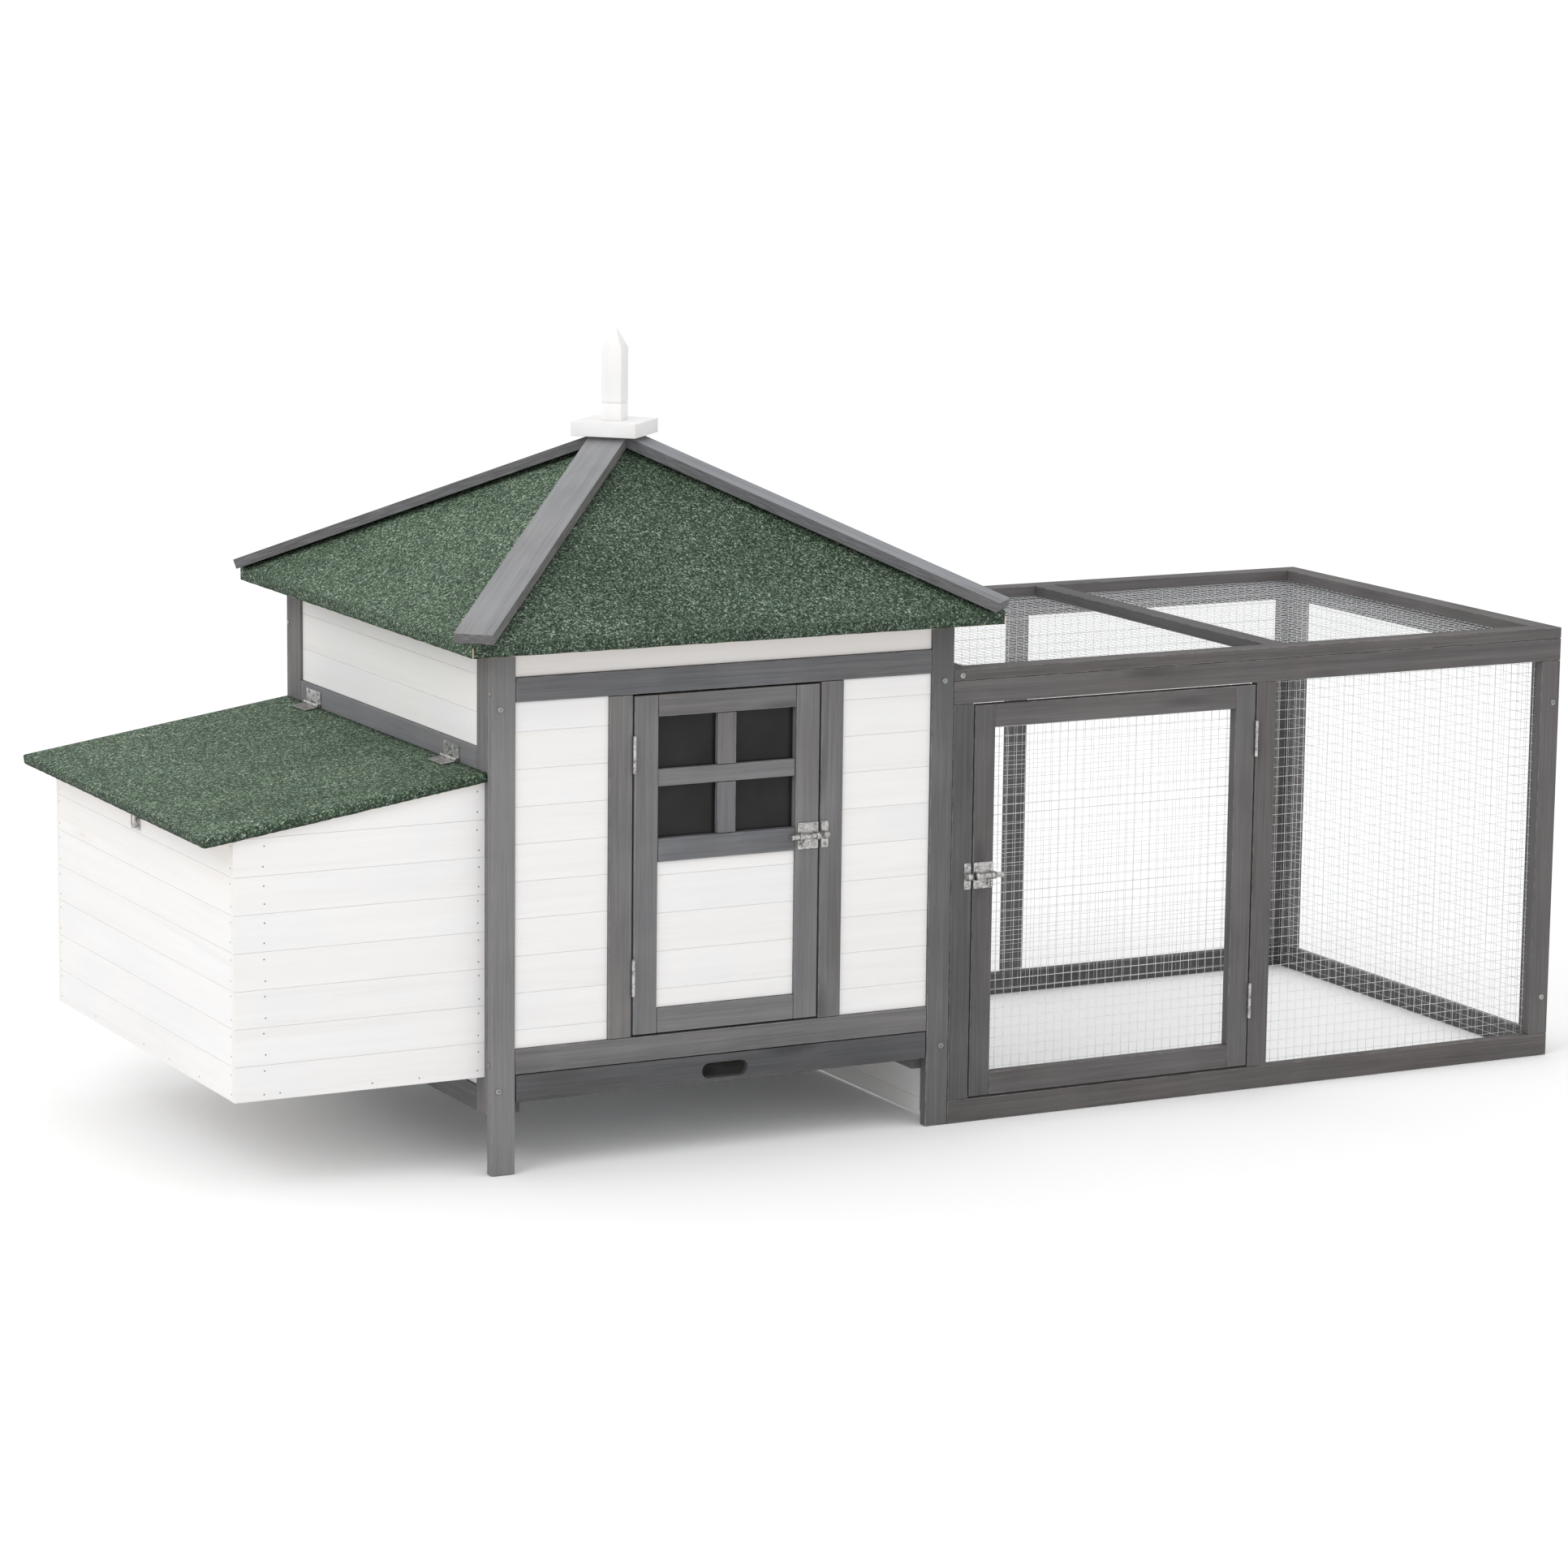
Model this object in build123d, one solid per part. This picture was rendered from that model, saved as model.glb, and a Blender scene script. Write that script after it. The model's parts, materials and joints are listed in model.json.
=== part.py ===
from build123d import *
import math
import os

# Garden chicken coop: a square hen house on legs under a hipped roof, a nest box hung on its
# left wall, and a wire run on its right. All sizes are in millimetres.
# The parts are laid out from the house's front left foot: X to the right, Y to the back, Z up.
# place() then moves every part so that the origin is under the middle of the whole coop.

# --- driving dimensions -------------------------------------------------------------------
# Timber and sheet stock
STRIP = 32.0  # width of the house's frame strips
RUN_STRIP = 30.0  # width of the run's frame strips
THICK = 15.0  # thickness of every frame strip
BOARD = 9.0  # thickness of the tongue and groove boards
BOARD_INSET = 4.0  # how far the boards sit behind the face of their frame
SHEET = 1.0  # thickness that stands for the welded mesh
GAP = 2.0  # gap around a door

# House
HOUSE_W = 640.0
HOUSE_D = 660.0
SILL_LOW, SILL_HIGH = 125.0, 157.0  # front and back bottom rails
HEAD_LOW, HEAD_HIGH = 587.0, 618.0  # front and back top rails
SIDE_RAIL_LOW, SIDE_RAIL_HIGH = 73.0, 105.0  # bottom rails of the side walls
HINGE_RAIL_LOW, HINGE_RAIL_HIGH = 497.0, 528.0  # rail that carries the nest box lid
SKIRT_LOW = 3.0  # the right wall's boards reach almost to the ground

# House door
DOOR_LEFT, DOOR_RIGHT = 191.5, 448.5
DOOR_STILE = 33.0
DOOR_TOP_RAIL = 28.0
MID_RAIL_LOW, MID_RAIL_HIGH = 375.0, 404.5
MUNTIN_W, MUNTIN_H = 26.0, 22.0
MUNTIN_Z = 480.5

# Roof
EAVE = 48.0  # overhang of the felt past the walls
EAVE_Z = 652.0  # lower edge of the eaves
EAVE_THICK = 14.5  # deck and felt together, measured upright
FELT = 2.0
ROOF_SLOPE = 0.536  # rise over run, along X
CAP_W, CAP_T = 50.0, 13.0
CAP_SHORT = 8.0  # how far the hip caps stop short of the felt's corners, in plan
PLATE_Z, PLATE_T, PLATE_SIDE = 868.5, 18.5, 88.0
POST_SIDE, POST_TAPER_Z, POST_TOP_Z, POST_TIP = 27.0, 979.5, 1003.0, 6.0

# Nest box and its lid
NEST_OUT = 327.0  # how far the box stands out from the left wall
NEST_FRONT, NEST_BACK = 21.0, 644.0
NEST_LOW = 121.0
LID_OUT = 367.0
LID_FRONT, LID_BACK = 14.0, 659.0
LID_T = 12.0
LID_IN_Z = 501.5  # top of the lid beside the wall
LID_DROP = 54.2  # fall of the lid over LID_OUT
LID_REST = 0.3  # clearance under the closed lid

# Run
RUN_LEN = 938.0
RUN_H = 575.0  # height of the four upright panels
RUN_DOOR_LEFT, RUN_DOOR_RIGHT = 31.5, 452.5  # from the run's left end
RUN_DOOR_LOW, RUN_DOOR_HIGH = 32.5, 542.5
RUN_BAR = 485.0  # left edge of the bar across the run's top

# Tray
TRAY_LOW, TRAY_HIGH = 90.0, 124.0
TRAY_WALL = 1.0
TRAY_PLAY = 1.5  # room on each side between the tray and the house's legs
SLOT_LONG, SLOT_TALL, SLOT_Z = 64.0, 20.0, 104.0

# Pop hole between house and run, and its sliding door
HOLE_FRONT, HOLE_BACK = 110.0, 350.0
HOLE_LOW, HOLE_HIGH = 125.0, 405.0
POP_LAP = 8.0
POP_T = 8.0

# Hinges, all of one pattern
KNUCKLE_R = 2.3
PIN_R = 1.2
PIN_CLEAR = 0.06
HINGE_LEN = 47.0
KNUCKLE_GAP = 0.4
LEAF_T = 0.9
LEAF_DEEP = 13.0

# Barrel bolts
BOLT_R = 3.6
BOLT_CLEAR = 0.08
BOLT_LEN = 40.0
BOLT_THROW = 14.0

X_MID = (HOUSE_W + RUN_LEN - LID_OUT) / 2
Y_MID = HOUSE_D / 2
RUN_X = HOUSE_W
RUN_END = HOUSE_W + RUN_LEN
WALL_TOP = EAVE_Z + ROOF_SLOPE * (EAVE - FELT) * (HOUSE_W / 2) / (HOUSE_D / 2) - 0.3

os.makedirs("parts", exist_ok=True)


# --- helpers ------------------------------------------------------------------------------
def block(x0, x1, y0, y1, z0, z1):
    """A rectangular piece between two corners."""
    size = Box(x1 - x0, y1 - y0, z1 - z0)
    return Pos((x0 + x1) / 2, (y0 + y1) / 2, (z0 + z1) / 2) * size


def rod(point, axis, radius, length):
    """A round bar that starts at a point and runs along X, Y or Z."""
    turn = {"x": Rot(0, 90, 0), "y": Rot(-90, 0, 0), "z": Rot(0, 0, 0)}[axis]
    bar = Cylinder(radius, length, align=(Align.CENTER, Align.CENTER, Align.MIN))
    return Pos(*point) * turn * bar


def place(node, *pieces):
    """Write one node, moved to the coop's own origin."""
    solids = [s for piece in pieces for s in piece.solids()]
    moved = [s.moved(Location((-X_MID, -Y_MID, 0))) for s in solids]
    shape = moved[0] if len(moved) == 1 else Compound(children=moved)
    export_step(shape, f"parts/{node}.step")


def front_panel(x0, x1, z0, z1, strip, y0, uprights_full):
    """Four strips round an opening, in a wall that faces front or back."""
    y1 = y0 + THICK
    if uprights_full:
        return [
            block(x0, x0 + strip, y0, y1, z0, z1),
            block(x1 - strip, x1, y0, y1, z0, z1),
            block(x0 + strip, x1 - strip, y0, y1, z0, z0 + strip),
            block(x0 + strip, x1 - strip, y0, y1, z1 - strip, z1),
        ]
    return [
        block(x0, x1, y0, y1, z0, z0 + strip),
        block(x0, x1, y0, y1, z1 - strip, z1),
        block(x0, x0 + strip, y0, y1, z0 + strip, z1 - strip),
        block(x1 - strip, x1, y0, y1, z0 + strip, z1 - strip),
    ]


# --- the house's four walls ---------------------------------------------------------------
def end_wall_frame(y0, with_door):
    """Two legs and two rails, with the door's own posts on the front."""
    y1 = y0 + THICK
    inner = HOUSE_W - STRIP
    strips = [
        block(0, STRIP, y0, y1, 0, WALL_TOP),
        block(inner, HOUSE_W, y0, y1, 0, WALL_TOP),
        block(STRIP, inner, y0, y1, SILL_LOW, SILL_HIGH),
        block(STRIP, inner, y0, y1, HEAD_LOW, HEAD_HIGH),
    ]
    if with_door:
        left, right = DOOR_LEFT - GAP, DOOR_RIGHT + GAP
        strips.append(block(left - STRIP, left, y0, y1, SILL_HIGH, HEAD_LOW))
        strips.append(block(right, right + STRIP, y0, y1, SILL_HIGH, HEAD_LOW))
    return strips


def front_boards():
    y0, y1 = BOARD_INSET, BOARD_INSET + BOARD
    left_post = DOOR_LEFT - GAP - STRIP
    right_post = DOOR_RIGHT + GAP + STRIP
    inner = HOUSE_W - STRIP
    return [
        block(STRIP, left_post, y0, y1, SILL_HIGH, HEAD_LOW),
        block(right_post, inner, y0, y1, SILL_HIGH, HEAD_LOW),
        block(STRIP, inner, y0, y1, HEAD_HIGH, WALL_TOP),
    ]


def back_boards():
    y1 = HOUSE_D - BOARD_INSET
    y0 = y1 - BOARD
    inner = HOUSE_W - STRIP
    return [
        block(STRIP, inner, y0, y1, SILL_HIGH, HEAD_LOW),
        block(STRIP, inner, y0, y1, HEAD_HIGH, WALL_TOP),
    ]


def side_stiles(x0, z0):
    """The two upright strips of a side wall, between the front and back walls."""
    back = HOUSE_D - THICK
    return [
        block(x0, x0 + THICK, THICK, THICK + STRIP, z0, WALL_TOP),
        block(x0, x0 + THICK, back - STRIP, back, z0, WALL_TOP),
    ]


def left_frame():
    y0, y1 = THICK + STRIP, HOUSE_D - THICK - STRIP
    return side_stiles(0, SIDE_RAIL_LOW) + [
        block(0, THICK, y0, y1, SIDE_RAIL_LOW, SIDE_RAIL_HIGH),
        block(0, THICK, y0, y1, HINGE_RAIL_LOW, HINGE_RAIL_HIGH),
    ]


def left_boards():
    y0, y1 = THICK + STRIP, HOUSE_D - THICK - STRIP
    x0 = BOARD_INSET
    sill_top = NEST_LOW + BOARD + 35
    return [
        block(x0, x0 + BOARD, y0, y1, HINGE_RAIL_HIGH, WALL_TOP),
        block(x0, x0 + BOARD, y0, y1, SIDE_RAIL_HIGH, sill_top),
    ]


def right_frame():
    x0 = HOUSE_W - THICK
    y0, y1 = THICK + STRIP, HOUSE_D - THICK - STRIP
    return side_stiles(x0, SKIRT_LOW + 5) + [
        block(x0, HOUSE_W, y0, y1, SIDE_RAIL_LOW, SIDE_RAIL_HIGH),
    ]


def right_boards():
    """Boards round the pop hole, and the skirt that closes the run off under the house."""
    x1 = HOUSE_W - BOARD_INSET
    x0 = x1 - BOARD
    y0, y1 = THICK + STRIP, HOUSE_D - THICK - STRIP
    return [
        block(x0, x1, y0, y1, SKIRT_LOW, SIDE_RAIL_LOW),
        block(x0, x1, y0, y1, SIDE_RAIL_HIGH, HOLE_LOW),
        block(x0, x1, y0, HOLE_FRONT, HOLE_LOW, HOLE_HIGH),
        block(x0, x1, HOLE_BACK, y1, HOLE_LOW, HOLE_HIGH),
        block(x0, x1, y0, y1, HOLE_HIGH, WALL_TOP),
    ]


def perch():
    """A bar across the house for the hens to roost on, between the front and back boards."""
    y0 = BOARD_INSET + BOARD
    bar = block(522, 547, y0, HOUSE_D - y0, 300, 325)
    return fillet(bar.edges().filter_by(Axis.Y), 4)


# --- roof ---------------------------------------------------------------------------------
def roof_corners(overhang):
    """Four corners on the hip lines, going round from the front left.

    The overhang is measured along X. Every set of corners shares the same hip lines.
    """
    share = (HOUSE_W / 2 + overhang) / (HOUSE_W / 2 + EAVE)
    half_x = share * (HOUSE_W / 2 + EAVE)
    half_y = share * (HOUSE_D / 2 + EAVE)
    x, y = HOUSE_W / 2, HOUSE_D / 2
    return [
        (x - half_x, y - half_y),
        (x + half_x, y - half_y),
        (x + half_x, y + half_y),
        (x - half_x, y + half_y),
    ]


def roof_sheet(side, overhang, edge_z, upright):
    """One triangular roof slope as a sheet with an upright edge, mitred along its hips."""
    corners = roof_corners(overhang)
    first, second = corners[side], corners[(side + 1) % 4]
    apex_z = edge_z + ROOF_SLOPE * (HOUSE_W / 2 + overhang)
    apex = (HOUSE_W / 2, HOUSE_D / 2, apex_z)
    wire = Polyline((*first, edge_z), (*second, edge_z), apex, close=True)
    return extrude(make_face(wire), upright, dir=(0, 0, -1))


def roof_deck(side):
    """A plywood slope, just inside its felt."""
    edge_z = EAVE_Z + EAVE_THICK - FELT
    return roof_sheet(side, EAVE - FELT, edge_z, EAVE_THICK - FELT)


def roof_felt(side):
    """Felt over one slope, folded down over the edge of the deck."""
    whole = roof_sheet(side, EAVE, EAVE_Z + EAVE_THICK, EAVE_THICK)
    below = roof_sheet(side, EAVE - FELT, EAVE_Z + EAVE_THICK - FELT, 3 * EAVE_THICK)
    return (whole - below).solids().sort_by(SortBy.VOLUME)[-1]


def hip_cap(corner):
    """A square ended board laid along one hip, cut level under the finial."""
    x, y = HOUSE_W / 2, HOUSE_D / 2
    end_x, end_y = roof_corners(EAVE)[corner]
    reach = math.hypot(end_x - x, end_y - y)
    rise = ROOF_SLOPE * (HOUSE_W / 2 + EAVE)
    peak_z = EAVE_Z + EAVE_THICK + rise
    fall = math.degrees(math.atan(rise / reach))
    heading = math.degrees(math.atan2(end_y - y, end_x - x))
    length = (reach - CAP_SHORT) / math.cos(math.radians(fall))
    board = block(-CAP_W, length, -CAP_W / 2, CAP_W / 2, 0, CAP_T)
    board = Pos(x, y, peak_z) * Rot(0, 0, heading) * Rot(0, fall, 0) * board
    # each cap keeps the quarter that faces its own corner, and stops under the finial
    far_x, far_y = 2 * end_x - x, 2 * end_y - y
    quarter = block(min(x, far_x), max(x, far_x), min(y, far_y), max(y, far_y), 0, PLATE_Z)
    return (board & quarter).solids().sort_by(SortBy.VOLUME)[-1]


def finial_plate():
    plate = Box(PLATE_SIDE, PLATE_SIDE, PLATE_T, align=(Align.CENTER, Align.CENTER, Align.MIN))
    plate = fillet(plate.edges().group_by(Axis.Z)[-1], 1.0)
    return Pos(HOUSE_W / 2, HOUSE_D / 2, PLATE_Z) * Rot(0, 0, 45) * plate


def finial_post():
    """A square post with a pointed top and a shallow groove near its foot."""
    base = PLATE_Z + PLATE_T
    up = (Align.CENTER, Align.CENTER, Align.MIN)
    post = Box(POST_SIDE, POST_SIDE, POST_TAPER_Z - base, align=up)
    groove_z = 22.0
    ring = Box(POST_SIDE + 2, POST_SIDE + 2, 1.6, align=up) - Box(POST_SIDE - 2, POST_SIDE - 2, 1.6, align=up)
    post = post - Pos(0, 0, groove_z) * ring
    neck = Plane.XY.offset(POST_TAPER_Z - base)
    tip = Plane.XY.offset(POST_TOP_Z - base)
    point = loft([neck * Rectangle(POST_SIDE, POST_SIDE), tip * Rectangle(POST_TIP, POST_TIP)])
    return Pos(HOUSE_W / 2, HOUSE_D / 2, base) * Rot(0, 0, 45) * (post + point)


# --- nest box -----------------------------------------------------------------------------
def lid_under(x):
    """Height of the closed lid's underside at a place along X."""
    return LID_IN_Z - LID_T + LID_DROP * x / LID_OUT


def sloped_wall(y0, y1):
    """A nest box wall whose top follows the lid."""
    z_out = lid_under(-NEST_OUT) - LID_REST
    z_in = lid_under(0) - LID_REST
    wire = Polyline((-NEST_OUT, y0, NEST_LOW), (0, y0, NEST_LOW), (0, y0, z_in), (-NEST_OUT, y0, z_out), close=True)
    return extrude(make_face(wire), y1 - y0, dir=(0, 1, 0))


def nest_outer_wall():
    top = lid_under(-NEST_OUT) - LID_REST
    inside = NEST_FRONT + BOARD, NEST_BACK - BOARD
    return block(-NEST_OUT, -NEST_OUT + BOARD, inside[0], inside[1], NEST_LOW, top)


def nest_floor():
    inside = NEST_FRONT + BOARD, NEST_BACK - BOARD
    return block(-NEST_OUT + BOARD, 0, inside[0], inside[1], NEST_LOW, NEST_LOW + BOARD)


def nest_divider():
    """A low board between the two nests."""
    middle = (NEST_FRONT + NEST_BACK) / 2
    low = NEST_LOW + BOARD
    return block(-NEST_OUT + BOARD, 0, middle - BOARD / 2, middle + BOARD / 2, low, low + 180)


def lid_sheet(depth, thick, inset):
    """A flat sheet of the lid, a depth below its top surface."""
    x0, x1 = -LID_OUT + inset, -0.6
    y0, y1 = LID_FRONT + inset, LID_BACK - inset
    z0 = LID_IN_Z + LID_DROP * x0 / LID_OUT - depth
    z1 = LID_IN_Z + LID_DROP * x1 / LID_OUT - depth
    wire = Polyline((x0, y0, z0), (x1, y0, z1), (x1, y0, z1 - thick), (x0, y0, z0 - thick), close=True)
    return extrude(make_face(wire), y1 - y0, dir=(0, 1, 0))


def lid_deck():
    return lid_sheet(FELT, LID_T - FELT, FELT)


def lid_felt():
    """Felt on the lid, folded down over its outer and side edges."""
    whole = lid_sheet(0, LID_T, 0)
    wide = lid_sheet(FELT, 3 * LID_T, FELT)
    open_back = block(-FELT - 1, 1, LID_FRONT + FELT, LID_BACK - FELT, 0, 2 * LID_IN_Z)
    below = wide + (open_back & lid_sheet(FELT, 3 * LID_T, 0))
    return (whole - below).solids().sort_by(SortBy.VOLUME)[-1]


# --- hinges -------------------------------------------------------------------------------
def hinge_halves(leaf_side):
    """A butt hinge along Z with its pin at the origin and its leaves behind it, along +Y.

    The still half has the two outer knuckles and the pin, and the moving half the middle one.
    leaf_side is +1 where the still half is on the +X side. Both leaves start behind the knuckles.
    """
    third = (HINGE_LEN - 2 * KNUCKLE_GAP) / 3
    web_start = PIN_R + PIN_CLEAR + 0.4
    leaf_start = KNUCKLE_R + 0.2
    half = GAP / 2

    def leaf(sign):
        x = sorted((sign * half, sign * (half - LEAF_T)))
        return block(x[0], x[1], leaf_start, leaf_start + LEAF_DEEP, 0, HINGE_LEN)

    def web(sign, z0, z1):
        x = sorted((sign * half, sign * (half - LEAF_T)))
        return block(x[0], x[1], web_start, leaf_start + 1, z0, z1)

    def knuckle(z0, z1):
        return rod((0, 0, z0), "z", KNUCKLE_R, z1 - z0)

    top = HINGE_LEN - third
    still = leaf(leaf_side) + web(leaf_side, 0, third) + web(leaf_side, top, HINGE_LEN)
    still = still + knuckle(0, third) + knuckle(top, HINGE_LEN)
    still = still + rod((0, 0, 0), "z", PIN_R, HINGE_LEN)
    low, high = third + KNUCKLE_GAP, top - KNUCKLE_GAP
    moving = leaf(-leaf_side) + web(-leaf_side, low, high) + knuckle(low, high)
    moving = moving - rod((0, 0, 0), "z", PIN_R + PIN_CLEAR, HINGE_LEN)
    return still, moving


def door_hinges(x, heights, leaf_side):
    """The hinges of an upright door, with their knuckles in front of the gap."""
    y = -(KNUCKLE_R + 0.2)
    still, moving = hinge_halves(leaf_side)
    spots = [Pos(x, y, z) for z in heights]
    return [s * still for s in spots], [s * moving for s in spots]


LID_PIN = (-3.4, LID_IN_Z + 2.4)  # X and Z of the lid hinges' pins
LID_HINGES = (97.0, 542.0)  # Y where each lid hinge starts


def lid_hinges():
    """Two butt hinges between the wall's rail and the top of the lid."""
    third = (HINGE_LEN - 2 * KNUCKLE_GAP) / 3
    x, z = LID_PIN
    slope = math.degrees(math.atan(LID_DROP / LID_OUT))
    still_all, moving_all = [], []
    for start in LID_HINGES:
        end = start + HINGE_LEN
        wall_leaf = block(-LEAF_T, 0, start, end, z + 3, z + 18)
        still = wall_leaf
        for a in (start, end - third):
            still = still + rod((x, a, z), "y", KNUCKLE_R, third)
            still = still + block(x, 0, a, a + third, z + 1.4, z + 2.3)
            still = still + block(-LEAF_T, 0, a, a + third, z + 1.4, z + 4)
        still = still + rod((x, start, z), "y", PIN_R, HINGE_LEN)
        still_all.append(still)
        low, high = start + third + KNUCKLE_GAP, end - third - KNUCKLE_GAP
        leaf_top = Pos(x, 0, z) * Rot(0, -slope, 0)
        leaf = leaf_top * block(-20, -2.6, start, end, -1.9, -1.0)
        web = leaf_top * block(-3.2, -1.5, low, high, -1.9, -1.0)
        moving = leaf + web + rod((x, low, z), "y", KNUCKLE_R, high - low)
        moving = moving - rod((x, start, z), "y", PIN_R + PIN_CLEAR, HINGE_LEN)
        moving_all.append(moving)
    return still_all, moving_all


# --- barrel bolts -------------------------------------------------------------------------
def bolt_set(edge, z, toward):
    """A barrel bolt on a door: case, rod and keeper. toward is +1 where it shoots along +X.

    edge is the door's edge beside the gap. The rod is drawn back, ready for the door to open.
    """
    y = -(BOLT_R + 2.0)
    plate_t = 1.2

    def span(a, b):
        return sorted((edge + toward * a, edge + toward * b))

    x = span(-30, -1)
    case = block(x[0], x[1], -plate_t, 0, z - 17, z + 17)
    bore = rod((edge - 40, y, z), "x", BOLT_R + BOLT_CLEAR, 80)
    for a, b in ((-30, -26), (-7.5, -1.5)):
        s = span(a, b)
        strap = block(s[0], s[1], y - BOLT_R - 1.4, -plate_t / 2, z - BOLT_R - 1.4, z + BOLT_R + 1.4)
        case = case + strap
    case = case - bore
    k = span(GAP + 1, GAP + 11)
    keeper = block(k[0], k[1], -plate_t, 0, z - 17, z + 17)
    s = span(GAP + 2.5, GAP + 9.5)
    keeper = keeper + block(s[0], s[1], y - BOLT_R - 1.4, -plate_t / 2, z - BOLT_R - 1.4, z + BOLT_R + 1.4)
    keeper = keeper - bore
    r = span(-BOLT_LEN - 1.5, -1.5)
    shaft = rod((r[0], y, z), "x", BOLT_R, BOLT_LEN)
    handle_x = edge + toward * -24.0
    handle = rod((handle_x, y, z - 15), "z", 1.6, 15)
    return case, shaft + handle, keeper


# --- hasp of the lid ----------------------------------------------------------------------
HASP_Y = 342.0
HASP_X = -NEST_OUT - 7.0
HASP_W = 14.0


def hasp_top():
    """Height of the hasp's pin, just under the lid."""
    return lid_under(HASP_X) - 4.2


def hasp_mount():
    """A small plate under the lid with two lugs that hold the hasp's pin."""
    z = hasp_top()
    y0, y1 = HASP_Y - HASP_W / 2, HASP_Y + HASP_W / 2
    roof = lid_sheet(LID_T, 1.0, 0) & block(HASP_X - 9, HASP_X + 5, y0 - 3, y1 + 3, 0, 2 * LID_IN_Z)
    lugs = [block(HASP_X - 2, HASP_X + 2, y, y + 2, z - 2, z + 3.5) for y in (y0 - 3, y1 + 1)]
    pin = rod((HASP_X, y0 - 3, z), "y", PIN_R, HASP_W + 6)
    body = roof + lugs[0] + lugs[1] + pin
    return body.solids().sort_by(SortBy.VOLUME)[-1]


def hasp_strap():
    """The hanging strap, with a slot that drops over the staple."""
    z = hasp_top()
    y0, y1 = HASP_Y - HASP_W / 2, HASP_Y + HASP_W / 2
    strap = block(HASP_X - 0.6, HASP_X + 0.6, y0, y1, z - 34, z)
    strap = fillet(strap.edges().filter_by(Axis.X).group_by(Axis.Z)[0], 5)
    eye = rod((HASP_X, y0, z), "y", 2.2, HASP_W) - rod((HASP_X, y0 - 1, z), "y", PIN_R + PIN_CLEAR, HASP_W + 2)
    clear_eye = rod((HASP_X, y0 - 1, z), "y", 1.7, HASP_W + 2)
    slot = Pos(HASP_X, HASP_Y, z - 22) * Rot(0, 90, 0) * extrude(SlotOverall(14, 7), 4, both=True)
    return (strap - clear_eye) + eye - slot


def hasp_staple():
    """A wire loop on the nest box's outer wall."""
    z = hasp_top() - 22
    plate = block(-NEST_OUT - 1, -NEST_OUT, HASP_Y - 8, HASP_Y + 8, z - 14, z + 10)
    post = rod((-NEST_OUT - 4.6, HASP_Y, z), "x", 2.0, 4.2)
    return plate + post


# --- tray ---------------------------------------------------------------------------------
def tray_front():
    """The front board of the droppings tray, with an oblong finger slot."""
    side = STRIP + TRAY_PLAY
    board = block(side, HOUSE_W - side, 0, THICK, TRAY_LOW, TRAY_HIGH)
    hole = extrude(SlotOverall(SLOT_LONG, SLOT_TALL), THICK, both=True)
    return board - Pos(HOUSE_W / 2, THICK / 2, SLOT_Z) * Rot(90, 0, 0) * hole


def tray_pan():
    """A sheet metal pan behind the front board: a floor and three low sides."""
    side = STRIP + TRAY_PLAY
    x0, x1 = side, HOUSE_W - side
    y0, y1 = THICK, HOUSE_D - THICK - 4
    low, high = TRAY_LOW + 0.4, TRAY_HIGH - 4
    floor_top = low + TRAY_WALL
    return [
        block(x0, x1, y0, y1, low, floor_top),
        block(x0, x0 + TRAY_WALL, y0, y1, floor_top, high),
        block(x1 - TRAY_WALL, x1, y0, y1, floor_top, high),
        block(x0 + TRAY_WALL, x1 - TRAY_WALL, y1 - TRAY_WALL, y1, floor_top, high),
    ]


def tray_runners():
    """A ledge and a guide on the inside of both side walls, for the tray to slide on."""
    y0, y1 = THICK, HOUSE_D - THICK
    pieces = []
    for wall, inward in ((THICK, 1), (HOUSE_W - THICK, -1)):
        ledge = sorted((wall, wall + inward * 30.0))
        guide = sorted((wall, wall + inward * (STRIP - THICK)))
        pieces.append(block(*ledge, y0, y1, SIDE_RAIL_LOW, TRAY_LOW))
        pieces.append(block(*guide, y0, y1, TRAY_LOW, 118.0))
    return pieces


# --- pop hole door ------------------------------------------------------------------------
def pop_door():
    """A board on the run's side that slides back past the pop hole, with a round knob."""
    x0 = HOUSE_W + 0.5
    y0 = HOLE_BACK + 2
    y1 = y0 + (HOLE_BACK - HOLE_FRONT) + 2 * POP_LAP
    door = block(x0, x0 + POP_T, y0, y1, HOLE_LOW - POP_LAP, HOLE_HIGH + POP_LAP)
    knob = rod((x0 + POP_T, y0 + 28, (HOLE_LOW + HOLE_HIGH) / 2), "x", 9, 14)
    return door + knob


def pop_guides():
    """The grooved strips above and below the sliding door."""
    y0, y1 = THICK + STRIP, HOUSE_D - THICK - STRIP
    x0 = HOUSE_W
    groove = POP_T + 1.0
    low = HOLE_LOW - POP_LAP - 0.3
    high = HOLE_HIGH + POP_LAP + 0.6
    return [
        block(x0, x0 + groove, y0, y1, low - 10, low),
        block(x0 + groove, x0 + groove + 5, y0, y1, low - 10, low + 7),
        block(x0, x0 + groove, y0, y1, high, high + 10),
        block(x0 + groove, x0 + groove + 5, y0, y1, high - 7, high + 10),
    ]


# --- house door ---------------------------------------------------------------------------
DOOR_LOW = SILL_HIGH + GAP
DOOR_HIGH = HEAD_LOW - GAP


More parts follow.
